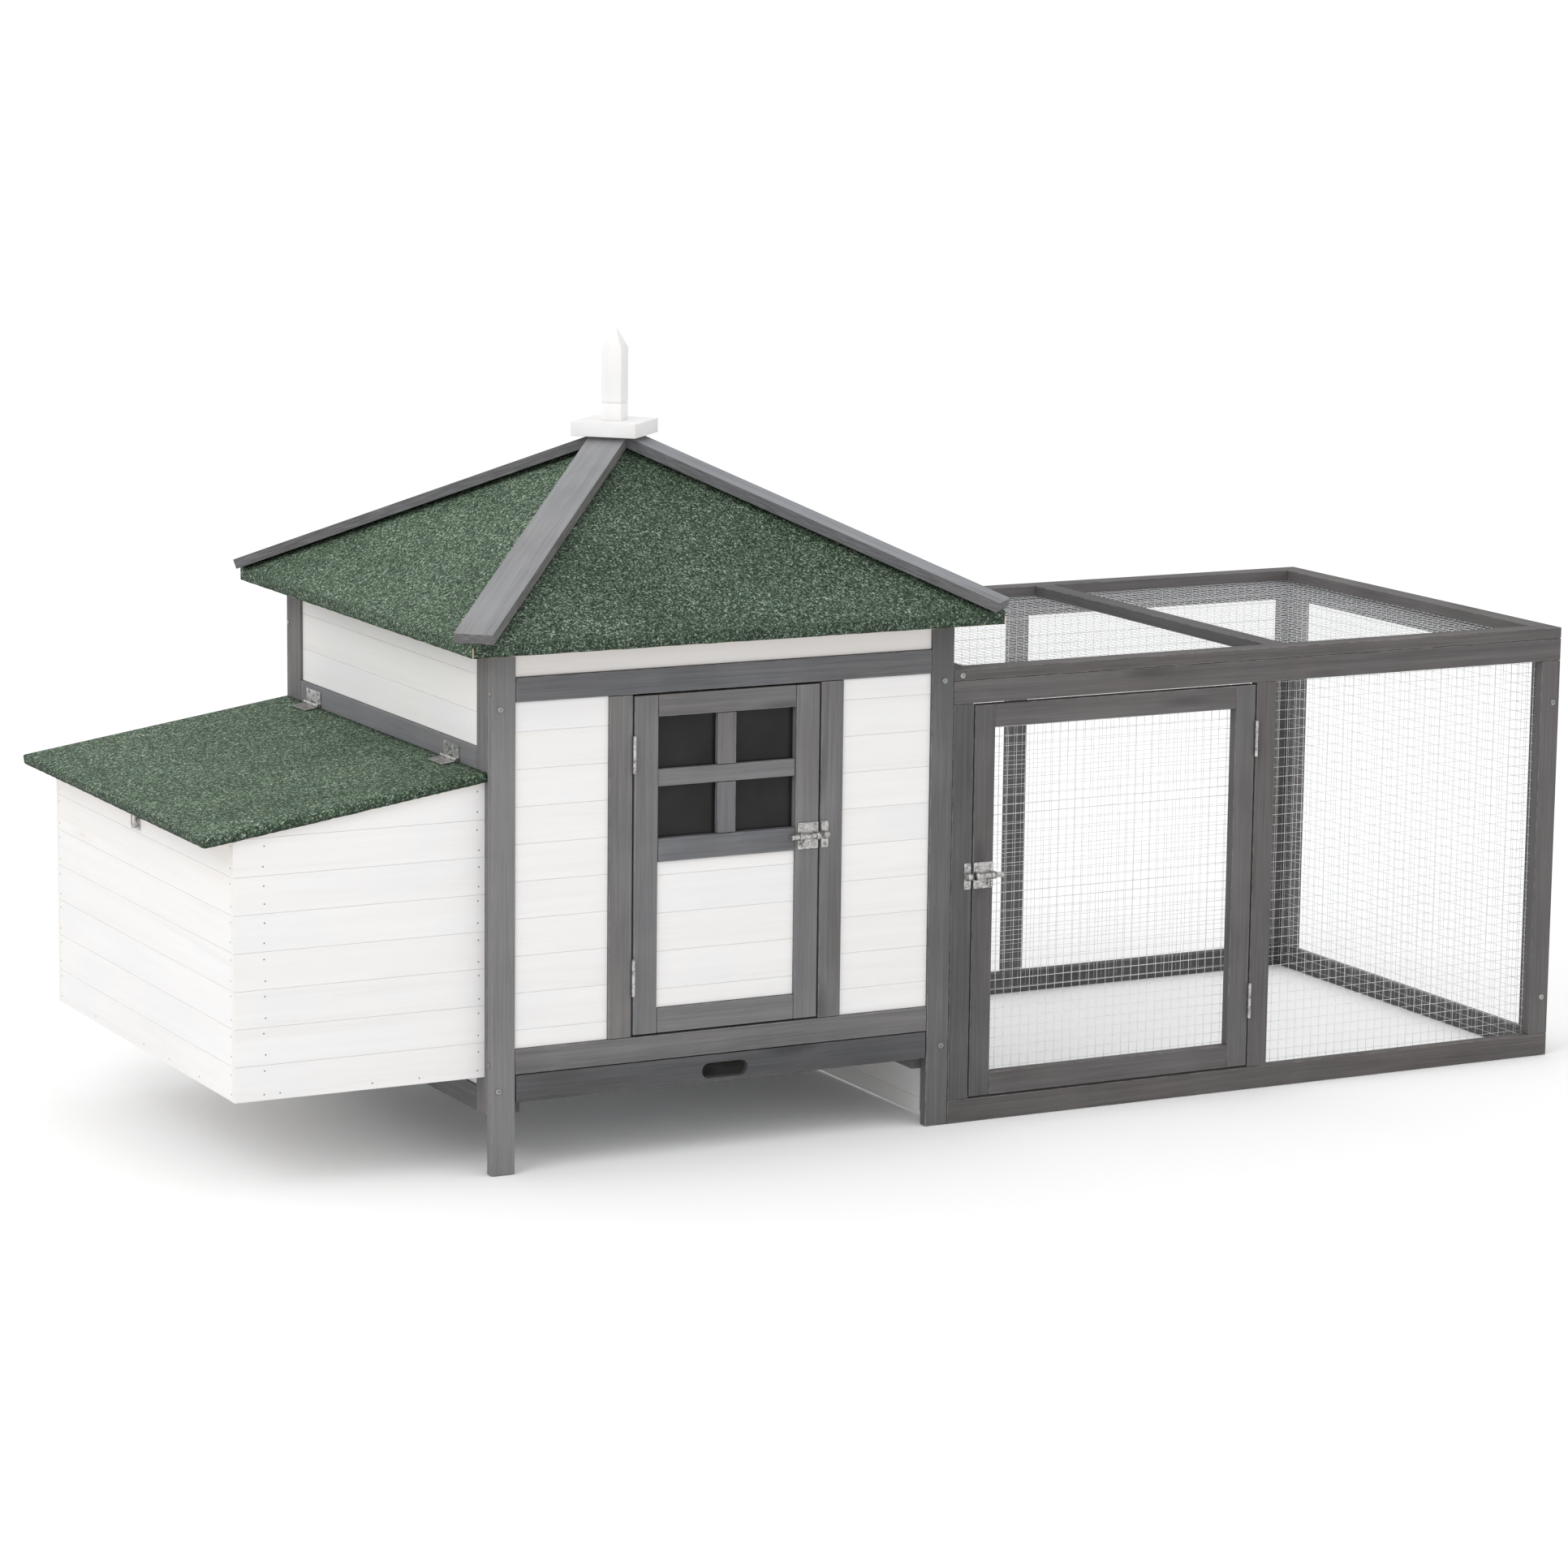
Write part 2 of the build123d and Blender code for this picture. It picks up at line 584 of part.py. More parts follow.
def door_frame():
    """Stiles, three rails and the window's crossed bars."""
    x0, x1 = DOOR_LEFT + DOOR_STILE, DOOR_RIGHT - DOOR_STILE
    pane_top = DOOR_HIGH - DOOR_TOP_RAIL
    x_bar = (x0 + x1) / 2
    bar_low, bar_high = MUNTIN_Z - MUNTIN_H / 2, MUNTIN_Z + MUNTIN_H / 2
    bx0, bx1 = x_bar - MUNTIN_W / 2, x_bar + MUNTIN_W / 2
    inset = 2.0
    return [
        block(DOOR_LEFT, x0, 0, THICK, DOOR_LOW, DOOR_HIGH),
        block(x1, DOOR_RIGHT, 0, THICK, DOOR_LOW, DOOR_HIGH),
        block(x0, x1, 0, THICK, DOOR_LOW, DOOR_LOW + STRIP),
        block(x0, x1, 0, THICK, pane_top, DOOR_HIGH),
        block(x0, x1, 0, THICK, MID_RAIL_LOW, MID_RAIL_HIGH),
        block(x0, x1, inset, THICK - 4, bar_low, bar_high),
        block(bx0, bx1, inset, THICK - 4, bar_high, pane_top),
        block(bx0, bx1, inset, THICK - 4, MID_RAIL_HIGH, bar_low),
    ]


def door_boards():
    x0, x1 = DOOR_LEFT + DOOR_STILE, DOOR_RIGHT - DOOR_STILE
    return block(x0, x1, BOARD_INSET, BOARD_INSET + BOARD, DOOR_LOW + STRIP, MID_RAIL_LOW)


def window_pane():
    """One clear sheet behind the window's bars."""
    x0, x1 = DOOR_LEFT + DOOR_STILE, DOOR_RIGHT - DOOR_STILE
    return block(x0, x1, THICK - 4, THICK - 2, MID_RAIL_HIGH, DOOR_HIGH - DOOR_TOP_RAIL)


# --- run ----------------------------------------------------------------------------------
def run_front_frame():
    """Full length rails with uprights between them, and one more beside the door."""
    x = RUN_X + RUN_DOOR_RIGHT + GAP
    strips = front_panel(RUN_X, RUN_END, 0, RUN_H, RUN_STRIP, 0, False)
    strips.append(block(x, x + RUN_STRIP, 0, THICK, RUN_STRIP, RUN_H - RUN_STRIP))
    return strips


def run_back_frame():
    x = RUN_X + RUN_DOOR_RIGHT + GAP
    y = HOUSE_D - THICK
    strips = front_panel(RUN_X, RUN_END, 0, RUN_H, RUN_STRIP, y, False)
    strips.append(block(x, x + RUN_STRIP, y, HOUSE_D, RUN_STRIP, RUN_H - RUN_STRIP))
    return strips


def run_end_frame():
    x0 = RUN_END - THICK
    y0, y1 = THICK, HOUSE_D - THICK
    s = RUN_STRIP
    return [
        block(x0, RUN_END, y0, y1, 0, s),
        block(x0, RUN_END, y0, y1, RUN_H - s, RUN_H),
        block(x0, RUN_END, y0, y0 + s, s, RUN_H - s),
        block(x0, RUN_END, y1 - s, y1, s, RUN_H - s),
    ]


def run_top_frame():
    """A flat frame with one bar across, laid on the upright panels."""
    z0, z1 = RUN_H, RUN_H + THICK
    s = RUN_STRIP
    bar = RUN_X + RUN_BAR
    return [
        block(RUN_X, RUN_END, 0, s, z0, z1),
        block(RUN_X, RUN_END, HOUSE_D - s, HOUSE_D, z0, z1),
        block(RUN_X, RUN_X + s, s, HOUSE_D - s, z0, z1),
        block(RUN_END - s, RUN_END, s, HOUSE_D - s, z0, z1),
        block(bar, bar + s, s, HOUSE_D - s, z0, z1),
    ]


def run_door_frame():
    x0, x1 = RUN_X + RUN_DOOR_LEFT, RUN_X + RUN_DOOR_RIGHT
    return front_panel(x0, x1, RUN_DOOR_LOW, RUN_DOOR_HIGH, RUN_STRIP, 0, True)


def run_meshes():
    """Flat sheets that stand for the welded mesh, on the inner side of each frame."""
    edge = 6.0
    x_mid = RUN_X + RUN_DOOR_RIGHT + GAP + edge
    back = HOUSE_D - THICK
    end = RUN_END - THICK
    door = (RUN_X + RUN_DOOR_LEFT + edge, RUN_X + RUN_DOOR_RIGHT - edge)
    return {
        "run_front_mesh": block(x_mid, end - SHEET - 0.5, THICK, THICK + SHEET, edge, RUN_H - edge),
        "run_door_mesh": block(*door, THICK, THICK + SHEET, RUN_DOOR_LOW + edge, RUN_DOOR_HIGH - edge),
        "run_back_mesh": block(RUN_X + edge, end - SHEET - 0.5, back - SHEET, back, edge, RUN_H - edge),
        "run_end_mesh": block(end - SHEET, end, THICK + edge, back - edge, edge, RUN_H - edge),
        "run_top_mesh": block(
            RUN_X + edge, end - SHEET - 0.5, THICK + SHEET + 0.5, back - SHEET - 0.5, RUN_H - SHEET, RUN_H
        ),
    }


# --- build every node ---------------------------------------------------------------------
place("front_frame", *end_wall_frame(0, True))
place("back_frame", *end_wall_frame(HOUSE_D - THICK, False))
place("left_frame", *left_frame())
place("right_frame", *right_frame())
place("front_boards", *front_boards())
place("back_boards", *back_boards())
place("left_boards", *left_boards())
place("right_boards", *right_boards())
place("perch", perch())
place("tray_runners", *tray_runners())
place("pop_guides", *pop_guides())

SIDES = ("front", "right", "back", "left")
place("roof_decks", *[roof_deck(i) for i in range(4)])
for i, name in enumerate(SIDES):
    place(f"roof_felt_{name}", roof_felt(i))
for i, name in enumerate(("front_left", "front_right", "back_right", "back_left")):
    place(f"hip_cap_{name}", hip_cap(i))
place("finial_plate", finial_plate())
place("finial_post", finial_post())

place("nest_front_wall", sloped_wall(NEST_FRONT, NEST_FRONT + BOARD))
place("nest_back_wall", sloped_wall(NEST_BACK - BOARD, NEST_BACK))
place("nest_outer_wall", nest_outer_wall())
place("nest_floor", nest_floor())
place("nest_divider", nest_divider())
place("lid_deck", lid_deck())
place("lid_felt", lid_felt())
lid_still, lid_moving = lid_hinges()
place("lid_hinge_wall_leaves", *lid_still)
place("lid_hinge_lid_leaves", *lid_moving)
place("hasp_mount", hasp_mount())
place("hasp_strap", hasp_strap())
place("hasp_staple", hasp_staple())

place("tray_front", tray_front())
place("tray_pan", *tray_pan())
place("pop_door", pop_door())

place("door_frame", *door_frame())
place("door_boards", door_boards())
place("window_pane", window_pane())
house_hinge_x = DOOR_LEFT - GAP / 2
still, moving = door_hinges(house_hinge_x, (489.0, 209.5), -1)
place("door_hinge_post_leaves", *still)
place("door_hinge_door_leaves", *moving)
case, shaft, keeper = bolt_set(DOOR_RIGHT, 393.0, +1)
place("door_bolt_case", case)
place("door_bolt_rod", shaft)
place("door_bolt_keeper", keeper)

place("run_front_frame", *run_front_frame())
place("run_back_frame", *run_back_frame())
place("run_end_frame", *run_end_frame())
place("run_top_frame", *run_top_frame())
for node, sheet in run_meshes().items():
    place(node, sheet)
place("run_door_frame", *run_door_frame())
run_hinge_x = RUN_X + RUN_DOOR_RIGHT + GAP / 2
still, moving = door_hinges(run_hinge_x, (448.0, 97.0), +1)
place("run_hinge_post_leaves", *still)
place("run_hinge_door_leaves", *moving)
case, shaft, keeper = bolt_set(RUN_X + RUN_DOOR_LEFT, 322.0, -1)
place("run_bolt_case", case)
place("run_bolt_rod", shaft)
place("run_bolt_keeper", keeper)
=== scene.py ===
import contextlib
import json
import math
import random

import bmesh
import bpy
from mathutils import Matrix, Vector


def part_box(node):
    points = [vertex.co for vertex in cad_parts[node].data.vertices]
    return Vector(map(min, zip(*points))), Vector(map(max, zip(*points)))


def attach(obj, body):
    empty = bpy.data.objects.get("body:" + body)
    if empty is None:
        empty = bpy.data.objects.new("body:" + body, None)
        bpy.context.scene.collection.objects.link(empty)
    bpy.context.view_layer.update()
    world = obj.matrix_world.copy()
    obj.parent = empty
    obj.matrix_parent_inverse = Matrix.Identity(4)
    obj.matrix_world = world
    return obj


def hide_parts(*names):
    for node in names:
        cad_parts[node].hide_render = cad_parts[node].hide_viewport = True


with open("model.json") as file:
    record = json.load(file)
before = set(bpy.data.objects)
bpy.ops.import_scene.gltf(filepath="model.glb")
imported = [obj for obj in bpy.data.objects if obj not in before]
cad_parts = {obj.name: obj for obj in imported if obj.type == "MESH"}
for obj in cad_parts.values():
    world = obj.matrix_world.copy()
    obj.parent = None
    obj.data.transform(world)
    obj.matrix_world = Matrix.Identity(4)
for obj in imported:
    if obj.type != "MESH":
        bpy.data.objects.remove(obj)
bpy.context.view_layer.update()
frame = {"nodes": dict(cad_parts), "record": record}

BODY_OF = {
    node: body
    for body, nodes in frame["record"]["behaviour"]["bodies"].items()
    for node in nodes
}
MM = 0.001
X_AXIS, Y_AXIS, Z_AXIS = Vector((1, 0, 0)), Vector((0, 1, 0)), Vector((0, 0, 1))
rng = random.Random(7)


# --- node material helpers ---
class Mat:
    """A material's node tree with short ways to add and join nodes."""

    def __init__(self, name):
        self.m = bpy.data.materials.new(name)
        self.m.use_nodes = True
        self.t = self.m.node_tree
        self.bsdf = self.t.nodes["Principled BSDF"]

    def node(self, kind, inputs=None, **values):
        n = self.t.nodes.new(kind)
        for key, value in values.items():
            setattr(n, key, value)
        for key, value in (inputs or {}).items():
            self.put(n.inputs[key], value)
        return n

    def put(self, socket, value):
        if isinstance(value, bpy.types.NodeSocket):
            self.t.links.new(value, socket)
        else:
            socket.default_value = value

    def attr(self, name, vector=False):
        n = self.node("ShaderNodeAttribute", attribute_name=name)
        return n.outputs["Vector" if vector else "Fac"]

    def math(self, op, a, b):
        return self.node("ShaderNodeMath", {0: a, 1: b}, operation=op).outputs[0]

    def add(self, a, b):
        return self.math("ADD", a, b)

    def mul(self, a, b):
        return self.math("MULTIPLY", a, b)

    def sway(self, value, amount):
        """A value from 0 to 1 as an offset round zero, amount wide."""
        return self.mul(self.math("SUBTRACT", value, 0.5), amount)

    def scale(self, vec, xyz, shift=(0, 0, 0)):
        inputs = {"Vector": vec, "Scale": xyz, "Location": shift}
        return self.node("ShaderNodeMapping", inputs).outputs[0]

    def noise(self, vec, scale, detail=3.0, rough=0.55, distort=0.0):
        inputs = {"Vector": vec, "Scale": scale, "Detail": detail}
        inputs.update({"Roughness": rough, "Distortion": distort})
        return self.node("ShaderNodeTexNoise", inputs).outputs["Fac"]

    def voronoi(self, vec, scale, out="Distance"):
        return self.node("ShaderNodeTexVoronoi", {"Vector": vec, "Scale": scale}).outputs[out]

    def remap(self, value, a, b, lo=0.0, hi=1.0):
        inputs = {"Value": value, "From Min": a, "From Max": b, "To Min": lo, "To Max": hi}
        return self.node("ShaderNodeMapRange", inputs).outputs[0]

    def ramp(self, value, *stops):
        n = self.node("ShaderNodeValToRGB")
        self.put(n.inputs[0], value)
        while len(n.color_ramp.elements) < len(stops):
            n.color_ramp.elements.new(0.5)
        for e, (pos, color) in zip(n.color_ramp.elements, stops):
            e.position = pos
            e.color = (*color, 1.0)
        return n.outputs[0]

    def mix(self, fac, a, b, blend="MIX"):
        n = self.node("ShaderNodeMix", data_type="RGBA", blend_type=blend)
        self.put(n.inputs[0], fac)
        for socket, value in ((n.inputs[6], a), (n.inputs[7], b)):
            self.put(socket, (*value, 1.0) if isinstance(value, tuple) else value)
        return n.outputs[2]

    def bump(self, height, distance, strength):
        inputs = {"Height": height, "Distance": distance, "Strength": strength}
        self.put(self.bsdf.inputs["Normal"], self.node("ShaderNodeBump", inputs).outputs[0])

    def finish(self, color, rough, **sockets):
        self.put(self.bsdf.inputs["Base Color"], color)
        self.put(self.bsdf.inputs["Roughness"], rough)
        for key, value in sockets.items():
            self.put(self.bsdf.inputs[key.replace("_", " ")], value)
        return self.m


# The worn edge colour also serves as a painted highlight on the chamfers; the grey end colour is
# end grain, and painted shade on the hip caps' sides.
WARM_TINT, END_GRAIN_AND_CAP_SHADE, EDGE_WEAR_AND_HIGHLIGHT = (1.0, 0.955, 0.925), (0.085, 0.080, 0.077), (0.27, 0.255, 0.24)


def timber(name, dark, mid, light, edge_wear_highlight_tone, edge_wear_highlight_amount, warm=WARM_TINT, end_and_cap_shade_tone=END_GRAIN_AND_CAP_SHADE):
    """Sawn softwood under a thin stain: long fibres, blotches, knots, worn edges with a painted
    highlight, end grain that also paints shade on the hip caps' sides.
    """
    k = Mat(name)
    g = k.attr("grain", vector=True)
    tone = k.attr("tone")
    fibre = k.noise(k.scale(g, (10, 520, 520)), 1.0, 5.0, 0.66, 0.2)
    bands = k.noise(k.scale(g, (1.6, 95, 95), (3, 1, 2)), 1.0, 3.0, 0.55, 0.6)
    blotch = k.noise(g, 9.0, 3.0, 0.5)
    mixed = k.add(k.mul(fibre, 0.62), k.mul(bands, 0.38))
    mixed = k.add(mixed, k.sway(tone, 0.5))
    mixed = k.add(mixed, k.sway(blotch, 0.35))
    color = k.ramp(mixed, (0.30, dark), (0.50, mid), (0.72, light))
    warmth = k.noise(k.scale(g, (5, 20, 20), (7, 3, 9)), 1.0, 2.0)
    color = k.mix(k.remap(warmth, 0.45, 0.75), color, warm, "MULTIPLY")
    knot = k.voronoi(k.scale(g, (3.2, 16, 16), (5, 2, 4)), 1.0)
    knot = k.remap(knot, 0.05, 0.16, 1.0, 0.0)
    color = k.mix(k.mul(knot, 0.6), color, tuple(c * 0.62 for c in dark))
    # Worn edges, made lighter as a painted highlight on the chamfers.
    wear_and_highlight = k.remap(k.noise(g, 60.0, 2.0), 0.4, 0.65, 0.0, edge_wear_highlight_amount)
    color = k.mix(k.mul(k.attr("edge"), wear_and_highlight), color, edge_wear_highlight_tone)
    rings = k.noise(k.scale(g, (40, 120, 420)), 1.0, 2.0)
    # End grain colour; on the hip caps' steep sides the same mark paints shade.
    end = k.mul(k.attr("end"), k.remap(rings, 0.3, 0.7, 0.55, 1.0))
    color = k.mix(end, color, end_and_cap_shade_tone)
    at = k.node("ShaderNodeCombineXYZ", {0: tone, 1: tone, 2: tone}).outputs[0]
    drift = k.noise(k.scale(at, (9, 9, 9)), 1.0, 0.0)
    cool = k.ramp(drift, (0.40, (0.95, 0.99, 1.05)), (0.60, (1.04, 0.995, 0.96)))
    color = k.mix(0.8, color, cool, "MULTIPLY")
    k.bump(k.add(fibre, k.mul(bands, 0.6)), 0.0006, 0.55)
    return k.finish(color, k.remap(fibre, 0.3, 0.7, 0.62, 0.82), Specular_IOR_Level=0.28)


def painted_board(name, gain):
    """Tongue and groove boards under a thin off-white stain, with the wood faintly showing."""
    k = Mat(name)
    g = k.attr("grain", vector=True)
    tone = k.attr("tone")
    fibre = k.noise(k.scale(g, (7, 210, 210)), 1.0, 5.0, 0.6, 0.4)
    bands = k.noise(k.scale(g, (1.6, 42, 42), (1, 5, 2)), 1.0, 3.0, 0.5, 1.0)
    cloud = k.noise(g, 5.0, 3.0, 0.5)
    mixed = k.add(k.mul(fibre, 0.4), k.mul(bands, 0.6))
    shades = (
        (0.26, (0.735, 0.722, 0.705)),
        (0.44, (0.775, 0.768, 0.765)),
        (0.62, (0.795, 0.792, 0.795)),
    )
    color = k.ramp(mixed, *((at, tuple(c * gain for c in shade)) for at, shade in shades))
    tint = k.ramp(
        k.add(cloud, k.sway(tone, 0.45)),
        (0.34, (0.975, 0.975, 0.985)),
        (0.5, (1.0, 0.995, 0.985)),
        (0.70, (1.0, 0.985, 0.97)),
    )
    color = k.mix(1.0, color, tint, "MULTIPLY")
    knot = k.voronoi(k.scale(g, (2.4, 15, 15), (9, 4, 1)), 1.0)
    halo = k.remap(knot, 0.03, 0.13, 0.22, 0.0)
    color = k.mix(halo, color, (0.66, 0.61, 0.54))
    color = k.mix(k.remap(knot, 0.015, 0.035, 0.35, 0.0), color, (0.50, 0.44, 0.37))
    dirt = k.remap(k.noise(g, 22.0, 3.0), 0.35, 0.65, 0.15, 0.7)
    color = k.mix(k.mul(k.attr("edge"), dirt), color, (0.72, 0.70, 0.675))
    color = k.mix(k.mul(k.attr("end"), 0.5), color, (0.74, 0.70, 0.64))
    k.bump(k.add(fibre, bands), 0.0005, 0.45)
    return k.finish(color, k.remap(fibre, 0.3, 0.7, 0.55, 0.75), Specular_IOR_Level=0.3)


CHIPS_PER_METRE = 560.0


def granule_felt(name, gain):
    """Green mineral felt: millimetre granules in several greens over black bitumen."""
    k = Mat(name)
    g = k.attr("grain", vector=True)
    chip = k.voronoi(g, CHIPS_PER_METRE, out="Color")
    chip_depth = k.voronoi(g, CHIPS_PER_METRE)
    clump = k.noise(g, 210.0, 3.0, 0.6)
    pick = k.add(k.mul(chip, 0.72), k.mul(clump, 0.42))
    greens = (
        (0.30, (0.007, 0.013, 0.008)),
        (0.46, (0.025, 0.043, 0.026)),
        (0.62, (0.056, 0.093, 0.057)),
        (0.76, (0.137, 0.201, 0.137)),
        (0.90, (0.40, 0.47, 0.38)),
    )
    color = k.ramp(pick, *((at, tuple(c * gain for c in shade)) for at, shade in greens))
    patches = k.noise(g, 7.0, 4.0, 0.6)
    broad = k.ramp(patches, (0.35, (0.86, 0.88, 0.86)), (0.65, (1.12, 1.10, 1.12)))
    color = k.mix(1.0, color, broad, "MULTIPLY")
    rust = k.remap(k.noise(g, 420.0, 1.0), 0.70, 0.76, 0.0, 0.4)
    color = k.mix(rust, color, (0.10, 0.055, 0.045))
    # Marked faces go near black: bitumen on the underside and cut edges, painted shade on the
    # hanging skirts.
    color = k.mix(k.mul(k.attr("edge"), 0.75), color, (0.016, 0.020, 0.017))
    k.bump(k.math("SUBTRACT", 1.0, chip_depth), 0.0011, 0.75)
    return k.finish(color, k.remap(chip, 0.0, 1.0, 0.72, 0.95), Specular_IOR_Level=0.25)


def zinc(name, base, metallic, rough, speck, contrast):
    """Zinc plate: faint spangle, small scratches and dull spots."""
    k = Mat(name)
    g = k.node("ShaderNodeTexCoord").outputs["Object"]
    spangle = k.voronoi(g, speck, out="Color")
    cloud = k.noise(g, speck * 0.35, 4.0, 0.6)
    mixed = k.add(k.mul(spangle, 0.35), k.mul(cloud, 0.65))
    low = tuple(c * (1 - contrast) for c in base)
    high = tuple(min(c * (1 + contrast * 0.6), 0.97) for c in base)
    color = k.ramp(mixed, (0.30, low), (0.55, base), (0.75, high))
    scratch = k.noise(k.scale(g, (900, 60, 60)), 1.0, 2.0)
    k.bump(k.add(cloud, k.mul(scratch, 0.3)), 0.0003, 0.4)
    return k.finish(color, k.remap(mixed, 0.3, 0.7, rough - 0.08, rough + 0.12), Metallic=metallic)


def window_sheet(name):
    """A dark glossy sheet that paints the shade of a dark inside behind a clear pane, with a
    painted bloom of light.
    """
    k = Mat(name)
    g = k.node("ShaderNodeTexCoord").outputs["Object"]
    painted_bloom = k.noise(g, 14.0, 3.0)
    # Painted shade, a little lighter where the painted bloom falls.
    color = k.ramp(painted_bloom, (0.35, (0.012, 0.012, 0.012)), (0.70, (0.020, 0.020, 0.020)))
    return k.finish(color, k.remap(painted_bloom, 0.3, 0.7, 0.16, 0.28), Specular_IOR_Level=0.18)


STAIN = timber(
    "grey_stain", (0.104, 0.105, 0.108), (0.150, 0.149, 0.151), (0.200, 0.198, 0.198), EDGE_WEAR_AND_HIGHLIGHT, 0.5
)
STAIN_RUN = timber(
    "run_stain", (0.070, 0.066, 0.066), (0.104, 0.099, 0.098), (0.142, 0.136, 0.134), EDGE_WEAR_AND_HIGHLIGHT, 0.4
)
# Paler timber for the hip caps, lighter still as painted light from above.
STAIN_CAP_PALE_AND_LIT = timber(
    "cap_stain_pale_and_lit", (0.190, 0.192, 0.198), (0.262, 0.264, 0.268), (0.330, 0.331, 0.334),
    (0.34, 0.335, 0.325), 0.5,
)
STAIN_TRAY = timber(
    "tray_stain", (0.052, 0.054, 0.058), (0.079, 0.081, 0.085), (0.108, 0.111, 0.115),
    (0.20, 0.20, 0.195), 0.4,
)
BARE = timber(
    "bare_pine", (0.46, 0.37, 0.27), (0.58, 0.49, 0.38), (0.68, 0.60, 0.49),
    (0.72, 0.65, 0.54), 0.4, warm=(1.0, 0.96, 0.91), end_and_cap_shade_tone=(0.50, 0.42, 0.32),
)
WHITE = painted_board("white_boards", 1.0)
# A brighter copy of the white boards: painted light for the side boards, the pop door and the
# finial.
WHITE_LIT = painted_board("white_boards_lit", 1.05)
FELT = granule_felt("green_felt", 0.92)
# A brighter copy of the felt: painted light on the left slope and the lid.
FELT_LIT = granule_felt("green_felt_lit", 1.22)
ZINC = zinc("zinc_fittings", (0.50, 0.495, 0.485), 0.9, 0.36, 380.0, 0.55)
ZINC_DULL = zinc("screw_zinc", (0.36, 0.36, 0.355), 0.85, 0.42, 300.0, 0.5)
WIRE = zinc("wire_zinc", (0.74, 0.75, 0.76), 0.35, 0.5, 260.0, 0.2)
SHEET_ZINC = zinc("tray_zinc", (0.52, 0.53, 0.54), 0.9, 0.38, 60.0, 0.22)
PANE = window_sheet("window_sheet")
NAIL = zinc("nail_steel", (0.24, 0.23, 0.22), 0.6, 0.5, 500.0, 0.3)


# --- sizes of the timber, in millimetres from the house's front left foot ---
STRIP, RUN_STRIP, THICK, BOARD, INSET, GAP = 32.0, 30.0, 15.0, 9.0, 4.0, 2.0
HOUSE_W, HOUSE_D = 640.0, 660.0
RUN_END, RUN_H = 1578.0, 575.0
X_MID, Y_MID = 605.5, 330.0
WALL_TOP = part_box("front_frame")[1][2] / MM
SILL, HEAD = (125.0, 157.0), (587.0, 618.0)
SIDE_RAIL, HINGE_RAIL = (73.0, 105.0), (497.0, 528.0)
DOOR_X, DOOR_Z, DOOR_STILE, DOOR_TOP = (191.5, 448.5), (159.0, 585.0), 33.0, 28.0
MID_RAIL, MUNTIN_Z = (375.0, 404.5), (469.5, 491.5)
RUN_DOOR_X, RUN_DOOR_Z = (671.5, 1092.5), (32.5, 542.5)
TOP_BAR = 1125.0
NEST_SEAM = 118.2
HOLE_Y, HOLE_Z = (110.0, 350.0), (125.0, 405.0)

# --- sizes of the detail, in metres ---
JOINT_GAP, RUN_JOINT_GAP = 0.35 * MM, 0.15 * MM
EASED, BOARD_EASED = 1.1 * MM, 0.8 * MM
BOARD_PITCH, DOOR_BOARD_PITCH = 46.3 * MM, 48.0 * MM
LEAST_BOARD = 4 * MM
EAVE_BAND, FELT_FOLD, CORNER_GAP, FELT_THICK = 12.5 * MM, 3.5 * MM, 3.0 * MM, 1.6 * MM
LID_FOLD_DEPTH, LID_FOLD, LID_CORNER_GAP = 12.0 * MM, 2.6 * MM, 1.6 * MM
WIRE_PITCH, WIRE_R, WIRE_WOBBLE = 12.7 * MM, 0.29 * MM, 0.28 * MM
PLATE_THICK, PLATE_SCREW_INSET = 1.2 * MM, 4.6 * MM
BARREL_INNER, BARREL_OUTER = 3.75 * MM, 5.0 * MM


def box_of(node):
    """Low and high corners of a CAD node, as vectors."""
    low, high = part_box(node)
    return Vector(low), Vector(high)


def points_of(node):
    """The corner points of a CAD node's mesh."""
    return [v.co for v in frame["nodes"][node].data.vertices]


def block(x0, x1, y0, y1, z0, z1):
    """Low and high corners of one piece, in the scene's own metres."""
    return [Vector((x - X_MID, y - Y_MID, z)) * MM for x, y, z in ((x0, y0, z0), (x1, y1, z1))]


def panel(x, z, strip, y, uprights_full):
    """Four strips round an opening in a wall that faces front or back."""
    (x0, x1), (z0, z1) = x, z
    y0, y1 = y, y + THICK
    a = strip if uprights_full else 0.0
    b = 0.0 if uprights_full else strip
    return [
        block(x0 + a, x1 - a, y0, y1, z0, z0 + strip),
        block(x0 + a, x1 - a, y0, y1, z1 - strip, z1),
        block(x0, x0 + strip, y0, y1, z0 + b, z1 - b),
        block(x1 - strip, x1, y0, y1, z0 + b, z1 - b),
    ]


